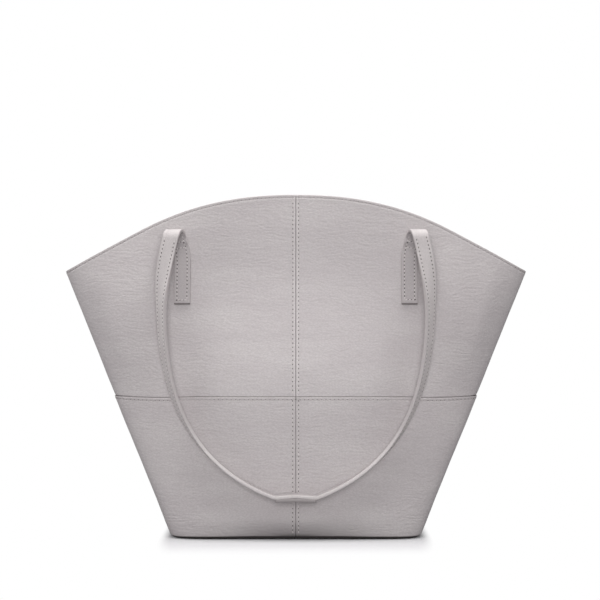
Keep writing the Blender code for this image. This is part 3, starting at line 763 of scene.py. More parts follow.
# %% [markdown]
# ## Furrows, crests and the foot
# A row of stitches pulls the leather down into a furrow, and beside it the leather stands up
# in a crest. Edges that are turned in are round. Each furrow or crest is a place, a width
# and a depth.
# %% Shape the leather beside seams
CENTRE_ROW = 0.00275
CENTRE_FURROW = (CENTRE_ROW, 0.0007, 0.00028)
CENTRE_CREST = (0.00165, 0.0006, 0.00010)
CENTRE_EDGE = 0.0013
CENTRE_EDGE_FALL = 0.85
SIDE_EDGE = 0.0016
SIDE_EDGE_FALL = 0.8
RIM_ROW = 0.0026
RIM_FURROW = (RIM_ROW, 0.0006, 0.00026)
RIM_CREST_PLACE = 0.0042
RIM_CREST_WIDTH = 0.0009
RIM_CREST = (RIM_CREST_PLACE, RIM_CREST_WIDTH, 0.00018)
LEVEL_ROW = 0.0028
LEVEL_FURROW = (LEVEL_ROW, 0.0007, 0.00026)
# Where the paler crest colour lies, which is partly a painted highlight.
PALE_CREST_PLACE = 0.0014
PALE_CREST_WIDTH = 0.0006
PALE_CREST_LOW = 0.3
PALE_CREST_RIM = 0.6


def dip(distance, middle, width, depth):
    """A rounded furrow, as deep as said at its middle."""
    return depth * hump(distance, middle, width)


def rounded_edge(distance, radius):
    """How far a sheet's surface falls away at a distance from its rounded edge."""
    if distance >= radius:
        return 0.0
    return radius - math.sqrt(max(radius**2 - (radius - distance) ** 2, 0.0))


def seam_relief(x, y):
    """How far the leather dips at the centre seam, its two rows of stitches and the side seam."""
    across = abs(x)
    relief = rounded_edge(across, CENTRE_EDGE) * CENTRE_EDGE_FALL + dip(across, *CENTRE_FURROW)
    relief -= dip(across, *CENTRE_CREST)
    return relief + rounded_edge(abs(y), SIDE_EDGE) * SIDE_EDGE_FALL


def crest_at(x, height):
    """How much paler a crest beside the centre seam or under the rim is drawn: partly stretched
    leather, partly a painted highlight.
    """
    beside_seam = hump(abs(x), PALE_CREST_PLACE, PALE_CREST_WIDTH)
    under_rim = hump(rim_height(x) - height, RIM_CREST_PLACE, RIM_CREST_WIDTH)
    beside_seam *= 1.0 if height > SEAM_HEIGHT else PALE_CREST_LOW
    return max(beside_seam, PALE_CREST_RIM * under_rim)


print("the stitches of the centre seam press the leather in by", CENTRE_FURROW[2], "m")

# %% [markdown]
# The base stands on its corners, so its middle is a little off the ground. Painted shade
# darkens the foot where it turns under, reaching higher up in the middle, and darkens the
# lower middle of each face.
# %% Shape the foot
BASE_ARCH = 0.0004
ARCH_HEIGHT = 0.040
FOOT_WIDTH = 0.070
# The height, the rise in the middle and the fade of the painted shade at the foot.
SHADE_TURN_HEIGHT = 0.0021
SHADE_TURN_RISE = 0.0012
SHADE_TURN_FADE = 0.0007
FOOT_SHADE = 0.87
FOOT_SHADE_HEIGHT = 0.029


def base_arch(x, height):
    """How far the foot of a wall is off the ground."""
    across = min(abs(x) / (BASE_WIDTH / 2), 1.0)
    return BASE_ARCH * (1 - across**4) * max(0.0, 1 - height / ARCH_HEIGHT)


def painted_foot_shade_at(x, height):
    """How much painted shade darkens the leather at the foot, a little further up in the middle of
    a face.
    """
    lift = base_arch(x, height)
    middle = hump(x, 0.0, FOOT_WIDTH)
    turned = 1 - smooth((height - lift - SHADE_TURN_HEIGHT - SHADE_TURN_RISE * middle) / SHADE_TURN_FADE)
    shaded = FOOT_SHADE * middle * max(0.0, 1 - height / FOOT_SHADE_HEIGHT) ** 2
    return max(turned, shaded)


print("the middle of the foot is", base_arch(0.0, 0.0), "m off the ground")

# %% [markdown]
# ## The upper panels
# Each upper panel reaches from the level seam up to the rim. At its foot it passes behind
# the lower panel, so just above the seam its surface comes forward in a small slope, which
# holds the dark line of the seam. A row is named by its distance from the level seam or from
# the rim, or as a share of the way between the two.
# %% Rules for the upper panels
LAP_STEP = 0.0009
LAP_SLOPE = 0.0012
LAP_DEPTH = 0.0011
LAP_LOW = 0.35
CALM_WIDTH = 0.03
RIM_EDGE = 0.0006
RIM_EDGE_FALL = 0.5
RIM_PAINT = 0.0004
SHARE_FOOT = 0.013
SHARE_TOP = 0.0155
HIDDEN_STEPS_MM = (-11.7, -6.0, -2.0, -0.9)
SLOPE_STEPS_MM = (-0.1, 0.2, 0.5, 0.8, 1.1, 1.5, 2.0, 3.0, 5.0, 8.5)

UPPER_ROWS = [("seam", mm / 1000) for mm in HIDDEN_STEPS_MM + SLOPE_STEPS_MM]
UPPER_ROWS += [("share", share) for share in steps(0.0, 1.0, 34)]
UPPER_ROWS += [("rim", mm / 1000) for mm in EDGE_STEPS_MM[:0:-1]] + [("rim", RIM_PAINT)]


def upper_height(row, x):
    """The height of a row of an upper panel at a distance from the middle."""
    kind, value = row
    if kind == "seam":
        return seam_line(x) + value
    if kind == "rim":
        return rim_height(x) - value
    low, high = seam_line(x) + SHARE_FOOT, rim_height(x) - SHARE_TOP
    return low + (high - low) * value


def upper_sway(here, height):
    """The bow of an upper panel and its unevenness, which dies away at the rim and the seam."""
    from_edge = min(height - seam_line(here.x), rim_height(here.x) - height)
    calm = min(max(from_edge, 0.0) / CALM_WIDTH, 1.0)
    return unevenness(here.x, here.y, height) * calm + bow(here.x, height)


def upper_point(column, row):
    """A point of the right upper panel of the front."""
    height = SEAM_HEIGHT
    for _ in range(6):
        x = wall(column_turn(column, height), height, LAP_STEP).x
        height = upper_height(row, x)
    turn = column_turn(column, height)
    here = wall(turn, height, LAP_STEP)
    over_seam, under_rim = height - seam_line(here.x), rim_height(here.x) - height
    inset = LAP_STEP + seam_relief(here.x, here.y)
    inset += dip(under_rim, *RIM_FURROW) + rounded_edge(under_rim, RIM_EDGE) * RIM_EDGE_FALL
    inset -= dip(under_rim, *RIM_CREST)
    inset += LAP_DEPTH * (1 - smooth(over_seam / LAP_SLOPE + LAP_LOW))
    return wall(turn, height, inset + upper_sway(here, height))


rim_middle = upper_point(COLUMNS[0], UPPER_ROWS[-1])
print("an upper panel has", len(UPPER_ROWS), "rows, the top one up at", round(rim_middle.z, 4))

# %% [markdown]
# The four panels of a level have one shape. The left one is the right one mirrored, and
# those of the back are turned half round. Mirroring turns a sheet inside out, so its faces
# are flipped again.
# %% Cut the upper panels
PANEL_THICKNESS = 0.0015


def hand_of(side, facing):
    """The name of a side as seen from the front of the bag, whichever face it is on."""
    return "right" if side * facing > 0 else "left"


def cut_panel(name, rows, point_of, side, facing):
    """A panel cut as the right front one, then mirrored and turned to its own place."""
    flip = Vector((side, 1, 1))
    piece = cut_grid(
        name,
        len(COLUMNS) - 1,
        len(rows) - 1,
        lambda column, row: point_of(COLUMNS[column], rows[row]) * flip,
    )
    for attribute, rule in (("crest", crest_at), ("painted_foot_shade", painted_foot_shade_at)):
        values = piece.data.attributes.new(attribute, "FLOAT", "POINT").data
        for point, value in zip(piece.data.vertices, values):
            value.value = rule(point.co.x, point.co.z)
    if side < 0:
        piece.data.flip_normals()
    if facing == BACK:
        turn_to_back(piece)
    return piece


def make_panels(level, rows, point_of):
    """The four panels of the upper or the lower level."""
    panels = []
    for facing, face in FACES:
        for side in (1, -1):
            hand = hand_of(side, facing)
            panel = cut_panel(f"{face}_{level}_{hand}_leather", rows, point_of, side, facing)
            thicken(panel, PANEL_THICKNESS)
            finish_piece(panel, panel_leather)
            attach(panel, "bag")
            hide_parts(f"{face}_{level}_{hand}_panel")
            panels.append(panel)
    return panels


upper_panels = make_panels("upper", UPPER_ROWS, upper_point)
print("upper panels:", [len(panel.data.polygons) for panel in upper_panels], "faces")

# %% [markdown]
# ## The lower panels
# The lower panels lap over the upper ones with a turned edge, and at the foot they bend
# round the edge of the base board and run in under it. A row is named by its distance in
# under the base, by its turn round the edge of the base, by its height, or by its distance
# down from the level seam.
# %% Rows of the lower panels
BASE_EDGE_RADIUS = 0.004
BASE_TURN_UNDER = 0.012
ARC_STEPS = 12
SEAM_SET = 0.0004
FOOT_BOW = ((0.0, 0.0002), (0.018, -0.0030), (0.036, 0.0))
CREASED_LOW, CREASED_HIGH = 0.0160, 0.0240
LOWER_TOP_GAP = 0.016
LOWER_SHIFT = 0.4
FOOT_STEPS_MM = (6.0, 8.0, 10.5, 13.0, 15.0)

LOWER_ROWS = [("under", BASE_TURN_UNDER * (1 - i / 4)) for i in range(4)]
LOWER_ROWS += [("arc", math.pi / 2 * (1 - i / ARC_STEPS)) for i in range(ARC_STEPS)]
LOWER_ROWS += [("up", mm / 1000) for mm in FOOT_STEPS_MM]
LOWER_ROWS += [("up", height) for height in steps(CREASED_LOW, CREASED_HIGH, 16)]
LOWER_ROWS += [("up", height) for height in steps(CREASED_HIGH, SEAM_HEIGHT - LOWER_TOP_GAP, 24)]
LOWER_ROWS += [("down", mm / 1000 + SEAM_SET) for mm in EDGE_STEPS_MM[::-1]] + [("down", SEAM_SET)]


def lower_sway(here, height):
    """The bow and unevenness of a lower panel, and how its middle rounds off above the base."""
    from_edge = min(seam_line(here.x) - height, height - BASE_EDGE_RADIUS)
    calm = min(max(from_edge, 0.0) / CALM_WIDTH, 1.0)
    foot = hump(here.x, 0.0, FOOT_WIDTH) * bent(FOOT_BOW, height)
    uneven = unevenness(here.x, here.y, height + LOWER_SHIFT) * calm
    return uneven + bow(here.x, height) + foot


print("a lower panel has", len(LOWER_ROWS), "rows")

# %% [markdown]
# Each point is found by its column and its row. A few fine creases show near the corners of
# the base, where the leather is pulled round. Each crease is a height and a depth.
# %% Rules for the lower panels
LAP_EDGE = 0.0006
LAP_EDGE_FALL = 0.85
CORNER_CREASES = ((0.0172, 0.00016), (0.0196, 0.00024), (0.0226, 0.00018))
CORNER_CREASE_WIDTH = 0.0006
CORNER_CREASE_WANDER = 0.0012
CORNER_CREASE_WAVES = 90
PULLED_SHARE = 0.92
PULLED_WIDTH = 0.016


def under_point(turn, distance):
    """A point of the part that is turned in under the base, at a distance from its edge."""
    foot = lower_sway(wall(turn, 0.0), 0.0)
    place = wall(turn, 0.0, BASE_EDGE_RADIUS + distance + foot)
    return place + Vector((0, 0, base_arch(place.x, 0.0)))


def corner_creases(x, height):
    """How deep the fine creases near the corners of the base are."""
    pulled = hump(abs(x), half_width(height) * PULLED_SHARE, PULLED_WIDTH)
    wander = CORNER_CREASE_WANDER * math.sin(x * CORNER_CREASE_WAVES)
    return [
        pulled * dip(height, middle + wander, CORNER_CREASE_WIDTH, depth)
        for middle, depth in CORNER_CREASES
    ]


def lower_point(column, row):
    """A point of the right lower panel of the front."""
    kind, value = row
    if kind == "under":
        return under_point(column_turn(column, 0.0), value)
    height, inset = value, 0.0
    if kind == "arc":
        height = BASE_EDGE_RADIUS * (1 - math.sin(value))
        inset = BASE_EDGE_RADIUS * (1 - math.cos(value))
    if kind == "down":
        height = SEAM_HEIGHT
        for _ in range(4):
            height = seam_line(wall(column_turn(column, height), height).x) - value
    turn = column_turn(column, height)
    here = wall(turn, height)
    under_seam = seam_line(here.x) - height
    lap = rounded_edge(under_seam - SEAM_SET, LAP_EDGE) * LAP_EDGE_FALL
    inset += seam_relief(here.x, here.y) + lap
    inset += dip(under_seam, *LEVEL_FURROW)
    for crease in corner_creases(here.x, height):
        inset += crease
    place = wall(turn, height, inset + lower_sway(here, height))
    return place + Vector((0, 0, base_arch(here.x, height)))


foot_middle = lower_point(COLUMNS[0], LOWER_ROWS[0])
print("the turned in foot ends", round(-foot_middle.y, 4), "m in front of the middle of the bag")

# %% [markdown]
# They are cut, mirrored and turned to the back as the upper ones were.
# %% Cut the lower panels
lower_panels = make_panels("lower", LOWER_ROWS, lower_point)
print("lower panels:", [len(panel.data.polygons) for panel in lower_panels], "faces")

# %% [markdown]
# ## The facing and the painted rim
# Inside the mouth a strip of leather backs the rim. The cut edges of the panel and the
# facing are level with each other and sealed together by one bead of edge paint, which
# laps about a millimetre over the front. Both follow the rim round the whole front, so their
# places are found by a turn and a distance below the rim.
# %% Rules for the rim
SEAT_GAP = 0.0003
UPPER_LEATHER = 0.0018
FACING_OUTER = LAP_STEP + UPPER_LEATHER + SEAT_GAP
FACING_THICKNESS = 0.0016
FACING_HEIGHT = 0.022
FACING_INNER = FACING_OUTER + FACING_THICKNESS
FIRST_RIM_COLUMN = 12


def rim_turns():
    """Turns for a row of points round the whole front, close together at the corners."""
    columns = COLUMNS[FIRST_RIM_COLUMN:]
    right = [column_turn(column, RIM_HEIGHT - RIM_DROP) for column in columns]
    return [-turn for turn in right[::-1]] + [0.0] + right


def signed_wall(turn, height, inset):
    """A point of the whole front, to the left where the turn is negative."""
    point = wall(abs(turn), height, inset)
    return Vector((math.copysign(point.x, turn), point.y, point.z))


def under_rim(turn, distance, inset):
    """A point at a distance below the rim."""
    height = RIM_HEIGHT - RIM_DROP / 2
    for _ in range(6):
        height = rim_height(signed_wall(turn, height, inset).x) - distance
    return signed_wall(turn, height, inset)


RIM_TURNS = rim_turns()
rim_end = under_rim(RIM_TURNS[-1], 0.0, 0.0)
print(len(RIM_TURNS), "places round the rim, which ends at a height of", round(rim_end.z, 4))

# %% [markdown]
# The facing is a sheet like the panels. The bead of paint is a grid that is rolled up round
# both cut edges, then joined along its seam and filled at its two ends.
# %% Cut the facings and lay the paint
FACING_ROWS = 12
FACING_EDGE = 0.0008
FACING_FURROW = (RIM_ROW, 0.0008, 0.0002)
GLUE = 0.0001
BEAD_SIDES = 16
BEAD_LAP = 0.0018
BEAD_PROUD = 0.00006
BEAD_WIDE_POWER, BEAD_TALL_POWER = 0.45, 0.6
SAME_PLACE = 0.00001


def facing_point(column, row):
    """A point of the facing's inner side."""
    depth = FACING_HEIGHT - (FACING_HEIGHT - RIM_PAINT) * row / FACING_ROWS
    edge = rounded_edge(FACING_HEIGHT - depth, FACING_EDGE)
    inset = FACING_INNER - edge - dip(depth, *FACING_FURROW)
    return under_rim(RIM_TURNS[column], depth, inset)


def bead_point(column, row):
    """The bead of paint, a flattened ring round both cut edges."""
    angle = 2 * math.pi * row / BEAD_SIDES
    middle = (LAP_STEP + FACING_INNER) / 2
    half = (FACING_INNER - LAP_STEP) / 2 + BEAD_PROUD
    across = math.copysign(abs(math.cos(angle)) ** BEAD_WIDE_POWER, math.cos(angle))
    up = math.copysign(abs(math.sin(angle)) ** BEAD_TALL_POWER, math.sin(angle))
    return under_rim(RIM_TURNS[column], BEAD_LAP / 2 * (1 - up), middle + half * across)


def close_tube(piece):
    """Joins a rolled up grid along its seam, fills its ends and turns its faces outwards."""
    select_only(piece)
    bpy.ops.object.mode_set(mode="EDIT")
    bpy.ops.mesh.select_all(action="SELECT")
    bpy.ops.mesh.remove_doubles(threshold=SAME_PLACE)
    bpy.ops.mesh.select_all(action="SELECT")
    bpy.ops.mesh.fill_holes(sides=0)
    bpy.ops.mesh.normals_make_consistent(inside=False)
    bpy.ops.object.mode_set(mode="OBJECT")


for facing, face in FACES:
    strip = cut_grid(f"{face}_rim_facing_leather", len(RIM_TURNS) - 1, FACING_ROWS, facing_point)
    strip.data.flip_normals()
    thicken(strip, FACING_THICKNESS - GLUE)
    bead = cut_grid(f"{face}_rim_edge", len(RIM_TURNS) - 1, BEAD_SIDES, bead_point)
    close_tube(bead)
    for piece, finish in ((strip, panel_leather), (bead, rim_edge_paint)):
        if facing == BACK:
            turn_to_back(piece)
        finish_piece(piece, finish)
        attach(piece, "bag")
    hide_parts(f"{face}_rim_facing")
print("a facing has", len(strip.data.polygons), "faces, a bead has", len(bead.data.polygons))

# %% [markdown]
# ## One stitch
# A stitch is a short length of thread that arches out of one needle hole and into the next.
# It is modelled once, with the hole at one end as a small dimple drawn dark as painted shade,
# and copied along each seam. Both start as balls with few sides, because there are thousands
# of them.
# %% Shape the stitch
THREAD_WIDTH = 0.00078
THREAD_SUNK = 0.16
THREAD_TAPER = 0.25
ARCH_FALL = 1.9
STITCH_RISE = 0.00030
HOLE_LENGTH = 0.00165
HOLE_WIDTH = 0.00112
HOLE_RELIEF = 0.00007
BARE_HOLE = 0.55
RIM_PITCH = 0.0039
SEAM_PITCH = 0.0041
STRAP_PITCH = 0.0038
CALM = (furrow_shade_thread, calm_hole)


def new_ball(rings, turn=0.0):
    """A ball with six sides, its poles up and down or, turned, along X."""
    bpy.ops.object.select_all(action="DESELECT")
    bpy.ops.mesh.primitive_uv_sphere_add(
        segments=6, ring_count=rings, radius=1, rotation=(0, turn, 0)
    )
    bpy.ops.object.transform_apply(location=False, rotation=True, scale=False)
    return bpy.context.object


def shape_stitch(pitch, rise=STITCH_RISE, hole_share=1.0, finishes=(thread, needle_hole)):
    """One stitch and its hole, along X, lying on the leather at z = 0."""
    stitch = new_ball(7, math.pi / 2)
    half = (pitch - HOLE_LENGTH * BARE_HOLE) / 2
    for point in stitch.data.vertices:
        x, y, z = point.co
        swell = THREAD_WIDTH / 2 * (1 - THREAD_TAPER * x * x)
        arch = rise * (1 - ARCH_FALL * x * x)
        point.co = (x * half, y * swell, z * swell + arch - THREAD_WIDTH * THREAD_SUNK)
    chart = stitch.data.uv_layers.active.data
    for loop in stitch.data.loops:
        place = stitch.data.vertices[loop.vertex_index].co
        chart[loop.index].uv = (place.x, place.y + place.z)
    hole = new_ball(4)
    for point in hole.data.vertices:
        x, y, z = point.co
        x, y = x * HOLE_LENGTH / 2 * hole_share, y * HOLE_WIDTH / 2 * hole_share
        point.co = (x + pitch / 2, y, z * HOLE_RELIEF)
    for piece, finish in zip((stitch, hole), finishes):
        piece.data.materials.append(finish)
    stitch.select_set(True)
    bpy.context.view_layer.objects.active = stitch
    bpy.ops.object.join()
    bpy.ops.object.shade_smooth()
    shape = stitch.data
    bpy.data.objects.remove(stitch)
    return shape


rim_stitch = shape_stitch(RIM_PITCH, hole_share=0.8, finishes=CALM)
level_stitch = shape_stitch(SEAM_PITCH, hole_share=0.8, finishes=CALM)
seam_stitch = shape_stitch(SEAM_PITCH, hole_share=0.82)
strap_stitch = shape_stitch(STRAP_PITCH, rise=0.00010, hole_share=1.08)
strap_back_stitch = shape_stitch(STRAP_PITCH, rise=0.0, hole_share=0.7, finishes=CALM)
print("a stitch has", len(seam_stitch.polygons), "faces")

# %% [markdown]
# ## Rows of stitches
# A row needs a seat for each stitch: a point, the way along the row and the way out of the
# leather. The seats are spread evenly along a line of points. Each stitch slants a little,
# as stitches made with a leather needle do, and no two slant quite the same. All the stitches
# of a row are one piece.
# %% Place and sew a row
SLANT = math.radians(7)
SLANT_CHANCE = 0.035


def lengths_along(points):
    """How far each point lies along a line of points."""
    lengths = [0.0]
    for before, after in zip(points, points[1:]):
        lengths.append(lengths[-1] + (after - before).length)
    return lengths


def along_line(points, pitch, start=0.0, stop=None):
    """Places at an even pitch along a line of points: the point, the way along it and its share."""
    lengths = lengths_along(points)
    stop = lengths[-1] if stop is None else stop
    count = max(1, round((stop - start) / pitch))
    found, segment = [], 0
    for i in range(count):
        mark = start + (stop - start) * (i + 0.5) / count
        while segment < len(points) - 2 and lengths[segment + 1] < mark:
            segment += 1
        span = lengths[segment + 1] - lengths[segment]
        share = (mark - lengths[segment]) / span
        along = (points[segment + 1] - points[segment]).normalized()
        found.append((points[segment].lerp(points[segment + 1], share), along, segment + share))
    return found


def sew(name, shape, seats):
    """One piece from a stitch copied to each seat, which is a point, a way along and a way out."""
    chance = random.Random(name)
    data = bmesh.new()
    for point, along, out in seats:
        first = len(data.verts)
        data.from_mesh(shape)
        data.verts.ensure_lookup_table()
        out = (out - along * out.dot(along)).normalized()
        side = out.cross(along)
        turn = Matrix((along, side, out)).transposed()
        wobble = Matrix.Rotation(SLANT + chance.gauss(0, SLANT_CHANCE), 3, "Z")
        for vert in data.verts[first:]:
            vert.co = point + turn @ (wobble @ vert.co)
    mesh = bpy.data.meshes.new(name)
    data.to_mesh(mesh)
    data.free()
    for material in shape.materials:
        mesh.materials.append(material)
    row = bpy.data.objects.new(name, mesh)
    bpy.context.scene.collection.objects.link(row)
    return row


print("stitches slant by", round(math.degrees(SLANT)), "degrees")

# %% [markdown]
# ## Stitching the body of the bag
# One row follows the rim, through the panel and its facing, so it shows on both sides. One
# row holds the lap of the level seam. Both run round the whole front, and are walked in fine
# steps that are even over the flat part and round the corners.
# %% Seats round the front
ROW_DEPTH = 0.00022
END_GAP = 0.003
FINE_COUNT = 720
SMALL_STEP = 0.0005
SMALL_TURN = 0.002


def fine_turns(count):
    """Turns for a whole front, even in width over the flat and in turn round the corners."""
    right = [math.atan(share) for share in steps(0.0, FLAT_SHARE, count // 4)]
    right += steps(CORNER, math.pi / 2 - CORNER, count // 8)
    right += [math.pi / 2 - math.atan(share) for share in steps(FLAT_SHARE, 0.0, count // 8)]
    right.append(math.pi / 2)
    return [-turn for turn in right[:0:-1]] + right


FINE_TURNS = fine_turns(FINE_COUNT)


def out_of_wall(turn, height):
    """The way out of the front at a place, from two short steps along it."""
    here = signed_wall(turn, height, 0.0)
    sideways = signed_wall(turn + SMALL_TURN, height, 0.0) - here
    upward = signed_wall(turn, height + SMALL_STEP, 0.0) - here
    return sideways.cross(upward).normalized()


def seats_on_wall(place_of, pitch, inside=False):
    """Seats along a line round the front, from a rule that gives the place at each turn."""
    line = [place_of(turn) for turn in FINE_TURNS]
    stop = lengths_along(line)[-1] - END_GAP
    seats = []
    for point, along, place in along_line(line, pitch, END_GAP, stop):
        before = min(int(place), len(FINE_TURNS) - 2)
        step = FINE_TURNS[before + 1] - FINE_TURNS[before]
        out = out_of_wall(FINE_TURNS[before] + step * (place - before), point.z)
        seats.append((point, along, -out if inside else out))
    return seats


def rim_row_place(turn):
    return under_rim(turn, RIM_ROW, LAP_STEP + ROW_DEPTH)


def inner_rim_row_place(turn):
    return under_rim(turn, RIM_ROW, FACING_INNER - ROW_DEPTH)


def level_row_place(turn):
    """The place of the stitches under the level seam at a turn."""
    x = signed_wall(turn, SEAM_HEIGHT, 0.0).x
    height = seam_line(x) - LEVEL_ROW
    return signed_wall(turn, height, ROW_DEPTH + bow(x, height))


RIM_SEATS = seats_on_wall(rim_row_place, RIM_PITCH)
RIM_SEATS += seats_on_wall(inner_rim_row_place, RIM_PITCH, inside=True)
LEVEL_SEATS = seats_on_wall(level_row_place, SEAM_PITCH)
print("seats:", len(RIM_SEATS), "on both sides of a rim,", len(LEVEL_SEATS), "at a level seam")

# %% [markdown]
# Two more rows flank the centre seam, from the base to just under the rim, with a gap at the
# lap. The panels of both sides have the same unevenness, that of the right side, so the rows
# on the left are the right ones mirrored.
# %% Sew the body
CENTRE_SAMPLES = 80
UPPER_FOOT = SEAM_HEIGHT + 0.0022
UPPER_TOP = RIM_HEIGHT - RIM_ROW - 0.0020
LOWER_FOOT = BASE_EDGE_RADIUS + 0.001
LOWER_TOP = SEAM_HEIGHT - LEVEL_ROW - 0.0010


def centre_seats(low, high, inset, sway):
    """Two rows of stitches up the front, one each side of the centre seam."""
    seats = []
    for side in (1, -1):
        points = []
        for i in range(CENTRE_SAMPLES + 1):
            height = low + (high - low) * i / CENTRE_SAMPLES
            turn = math.atan2(CENTRE_ROW, half_width(height))
            here = wall(turn, height, inset)
            point = wall(turn, height, inset + sway(here, height))
            point.z += base_arch(here.x, height)
            points.append(Vector((point.x * side, point.y, point.z)))
        for point, along, _ in along_line(points, SEAM_PITCH):
            seats.append((point, along, Vector((1, 0, 0)).cross(along)))
    return seats


CENTRE_SEATS = centre_seats(UPPER_FOOT, UPPER_TOP, LAP_STEP + ROW_DEPTH, upper_sway)
CENTRE_SEATS += centre_seats(LOWER_FOOT, LOWER_TOP, ROW_DEPTH, lower_sway)

for facing, face in FACES:
    rows = (
        sew(f"{face}_rim_stitches", rim_stitch, RIM_SEATS),
        sew(f"{face}_level_stitches", level_stitch, LEVEL_SEATS),
        sew(f"{face}_centre_stitches", seam_stitch, CENTRE_SEATS),
    )
    for row in rows:
        if facing == BACK:
            turn_to_back(row)
        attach(row, "bag")
print("stitches on each face:", len(RIM_SEATS), len(LEVEL_SEATS), len(CENTRE_SEATS))

# %% [markdown]
# ## The way of a strap
# Each strap is one flat length of leather. Its ends are sewn to the bag as tabs. Above a tab
# the strap lifts off, leans outwards and turns over in a bend that drifts sideways, and it
# then hangs, turning a quarter turn on the way down, so that its middle lies edge on. The
# rules are those of the solids, walked here in finer steps, except that the middle hangs
# 0.9 mm lower, as in the photograph. A station is a point in the middle of the strap, the way
# across it, and the way that one face looks: the outer one of the hanging part, which looks
# into the bag on the tab.
# %% Walk up the tab
STRAP_WIDTH = 0.0155
STRAP_THICKNESS = 0.0034
TAB_OFFSET = 0.1092
TAB_BOTTOM = 0.2227
TAB_TOP = 0.2775
TAB_SEAT = SEAT_GAP + STRAP_THICKNESS / 2 - LAP_STEP
TAB_STEPS = 30
SPLAY_SLOPE = math.tan(math.radians(14.04))
SPLAY_START = 0.263
SPLAY_RAMP = 0.015


def front_y(x, height, inset=0.0):
    """The Y of the front at a place, set in from its outside."""
    wide, deep, power = half_width(height) - inset, half_depth(height) - inset, squareness(height)
    return -deep * (1 - min(abs(x) / wide, 1.0) ** power) ** (1 / power)


def front_frame(x, height):
    """The front at a place: the point, the way up along it and the way out of it."""
    along = front_y(x + SMALL_STEP, height) - front_y(x - SMALL_STEP, height)
    upward = front_y(x, height + SMALL_STEP) - front_y(x, height - SMALL_STEP)
    out = Vector((along, -2 * SMALL_STEP, upward)).normalized()
    rise = Vector((0, upward, 2 * SMALL_STEP)).normalized()
    return Vector((x, front_y(x, height), height)), rise, out


def splay(distance):
    """How far the strap has drifted sideways, at a distance from where it starts to."""
    if distance <= 0:
        return 0.0
    if distance < SPLAY_RAMP:
        return SPLAY_SLOPE * distance**2 / (2 * SPLAY_RAMP)
    return SPLAY_SLOPE * (distance - SPLAY_RAMP / 2)


def splay_slope(distance):
    """How steeply the strap drifts at a distance from where it starts to."""
    return SPLAY_SLOPE * max(0.0, min(1.0, distance / SPLAY_RAMP))


def walk_tab():
    """Stations up the tab, which lies flat on the front."""
    stations = []
    for i in range(TAB_STEPS):
        height = TAB_BOTTOM + (TAB_TOP - TAB_BOTTOM) * i / TAB_STEPS
        x = TAB_OFFSET + splay(height - SPLAY_START)
        point, rise, out = front_frame(x, height)
        along = rise + rise.cross(out) * splay_slope(height - SPLAY_START)
        stations.append((point + out * TAB_SEAT, along.cross(out).normalized(), -out))
    return stations


tab_stations = walk_tab()
print("a tab is", round(TAB_TOP - TAB_BOTTOM, 4), "m long, in", len(tab_stations), "stations")

# %% [markdown]
# The bend is drawn first on a flat page, as a short slope away from the bag and a half
# circle, and then carried to the top of the tab.
# %% Walk over the fold
RISER_HEIGHT = 0.006
RISER_LIFT = 0.0015
RISER_STEPS = 6
FOLD_RADIUS = 0.0085
FOLD_STEPS = 30


def bezier(points, share):
    """The place at a share of the curve from the first of four points to the last."""
    rest = 1 - share
    weights = (rest**3, 3 * rest**2 * share, 3 * rest * share**2, share**3)
    return sum((point * weight for point, weight in zip(points, weights)), Vector((0, 0)))


def fold_route():
    """The bend on its page: how far out of the bag and how far up."""
    start, end = Vector((TAB_SEAT, 0)), Vector((TAB_SEAT + RISER_LIFT, RISER_HEIGHT))
    bend = Vector((0, RISER_HEIGHT / 2))
    line = (start, start + bend, end - bend, end)
    route = [bezier(line, i / RISER_STEPS) for i in range(RISER_STEPS)]
    centre = end + Vector((FOLD_RADIUS, 0))
    for i in range(FOLD_STEPS + 1):
        angle = math.pi * i / FOLD_STEPS
        route.append(centre + Vector((-math.cos(angle), math.sin(angle))) * FOLD_RADIUS)
    return route


def walk_fold():
    """Stations over the bend, from its page carried to the top of the tab."""
    route, walked = fold_route(), TAB_TOP - SPLAY_START
    base, rise, out = front_frame(TAB_OFFSET + splay(walked), TAB_TOP)
    sideways = rise.cross(out)
    stations = []
    for i, spot in enumerate(route):
        walked += (spot - route[i - 1]).length if i else 0.0
        drift = splay(walked) - splay(TAB_TOP - SPLAY_START)
        centre = base + out * spot.x + rise * spot.y + sideways * drift
        step = route[min(i + 1, len(route) - 1)] - route[i - 1] if i else Vector((0, 1))
        if i == len(route) - 1:
            step = Vector((0, -1))
        step = step.normalized()
        facing = rise * step.x - out * step.y
        along = out * step.x + rise * step.y + sideways * splay_slope(walked)
        stations.append((centre, facing.cross(along).normalized(), facing))
    return stations


fold_stations = walk_fold()
print("the fold ends", round(-fold_stations[-1][0].y, 4), "m in front of the middle of the bag")

# %% [markdown]
# A hanging leg is drawn on the front as two soft curves and the short arc of the splice,
# lifted off the wall, and walked in even steps.
# %% Draw the leg
STRAP_DROP = 0.2444
LEG_BOW = 0.0078
LEG_BOW_DROP = 0.063
LEG_TOP_HANDLE = 0.020
LEG_SHOULDER_HANDLE = 0.022
LEG_SIDE_HANDLE = 0.083
LEG_LOW_HANDLE = 0.089
LEG_LOW_ANGLE = math.radians(19.6)
LEG_STEP = 0.0022
CURVE_STEPS = 200
HANG_CLEARANCE = 0.001
SPLICE_LENGTH = 0.039
SPLICE_BOW = 0.0007


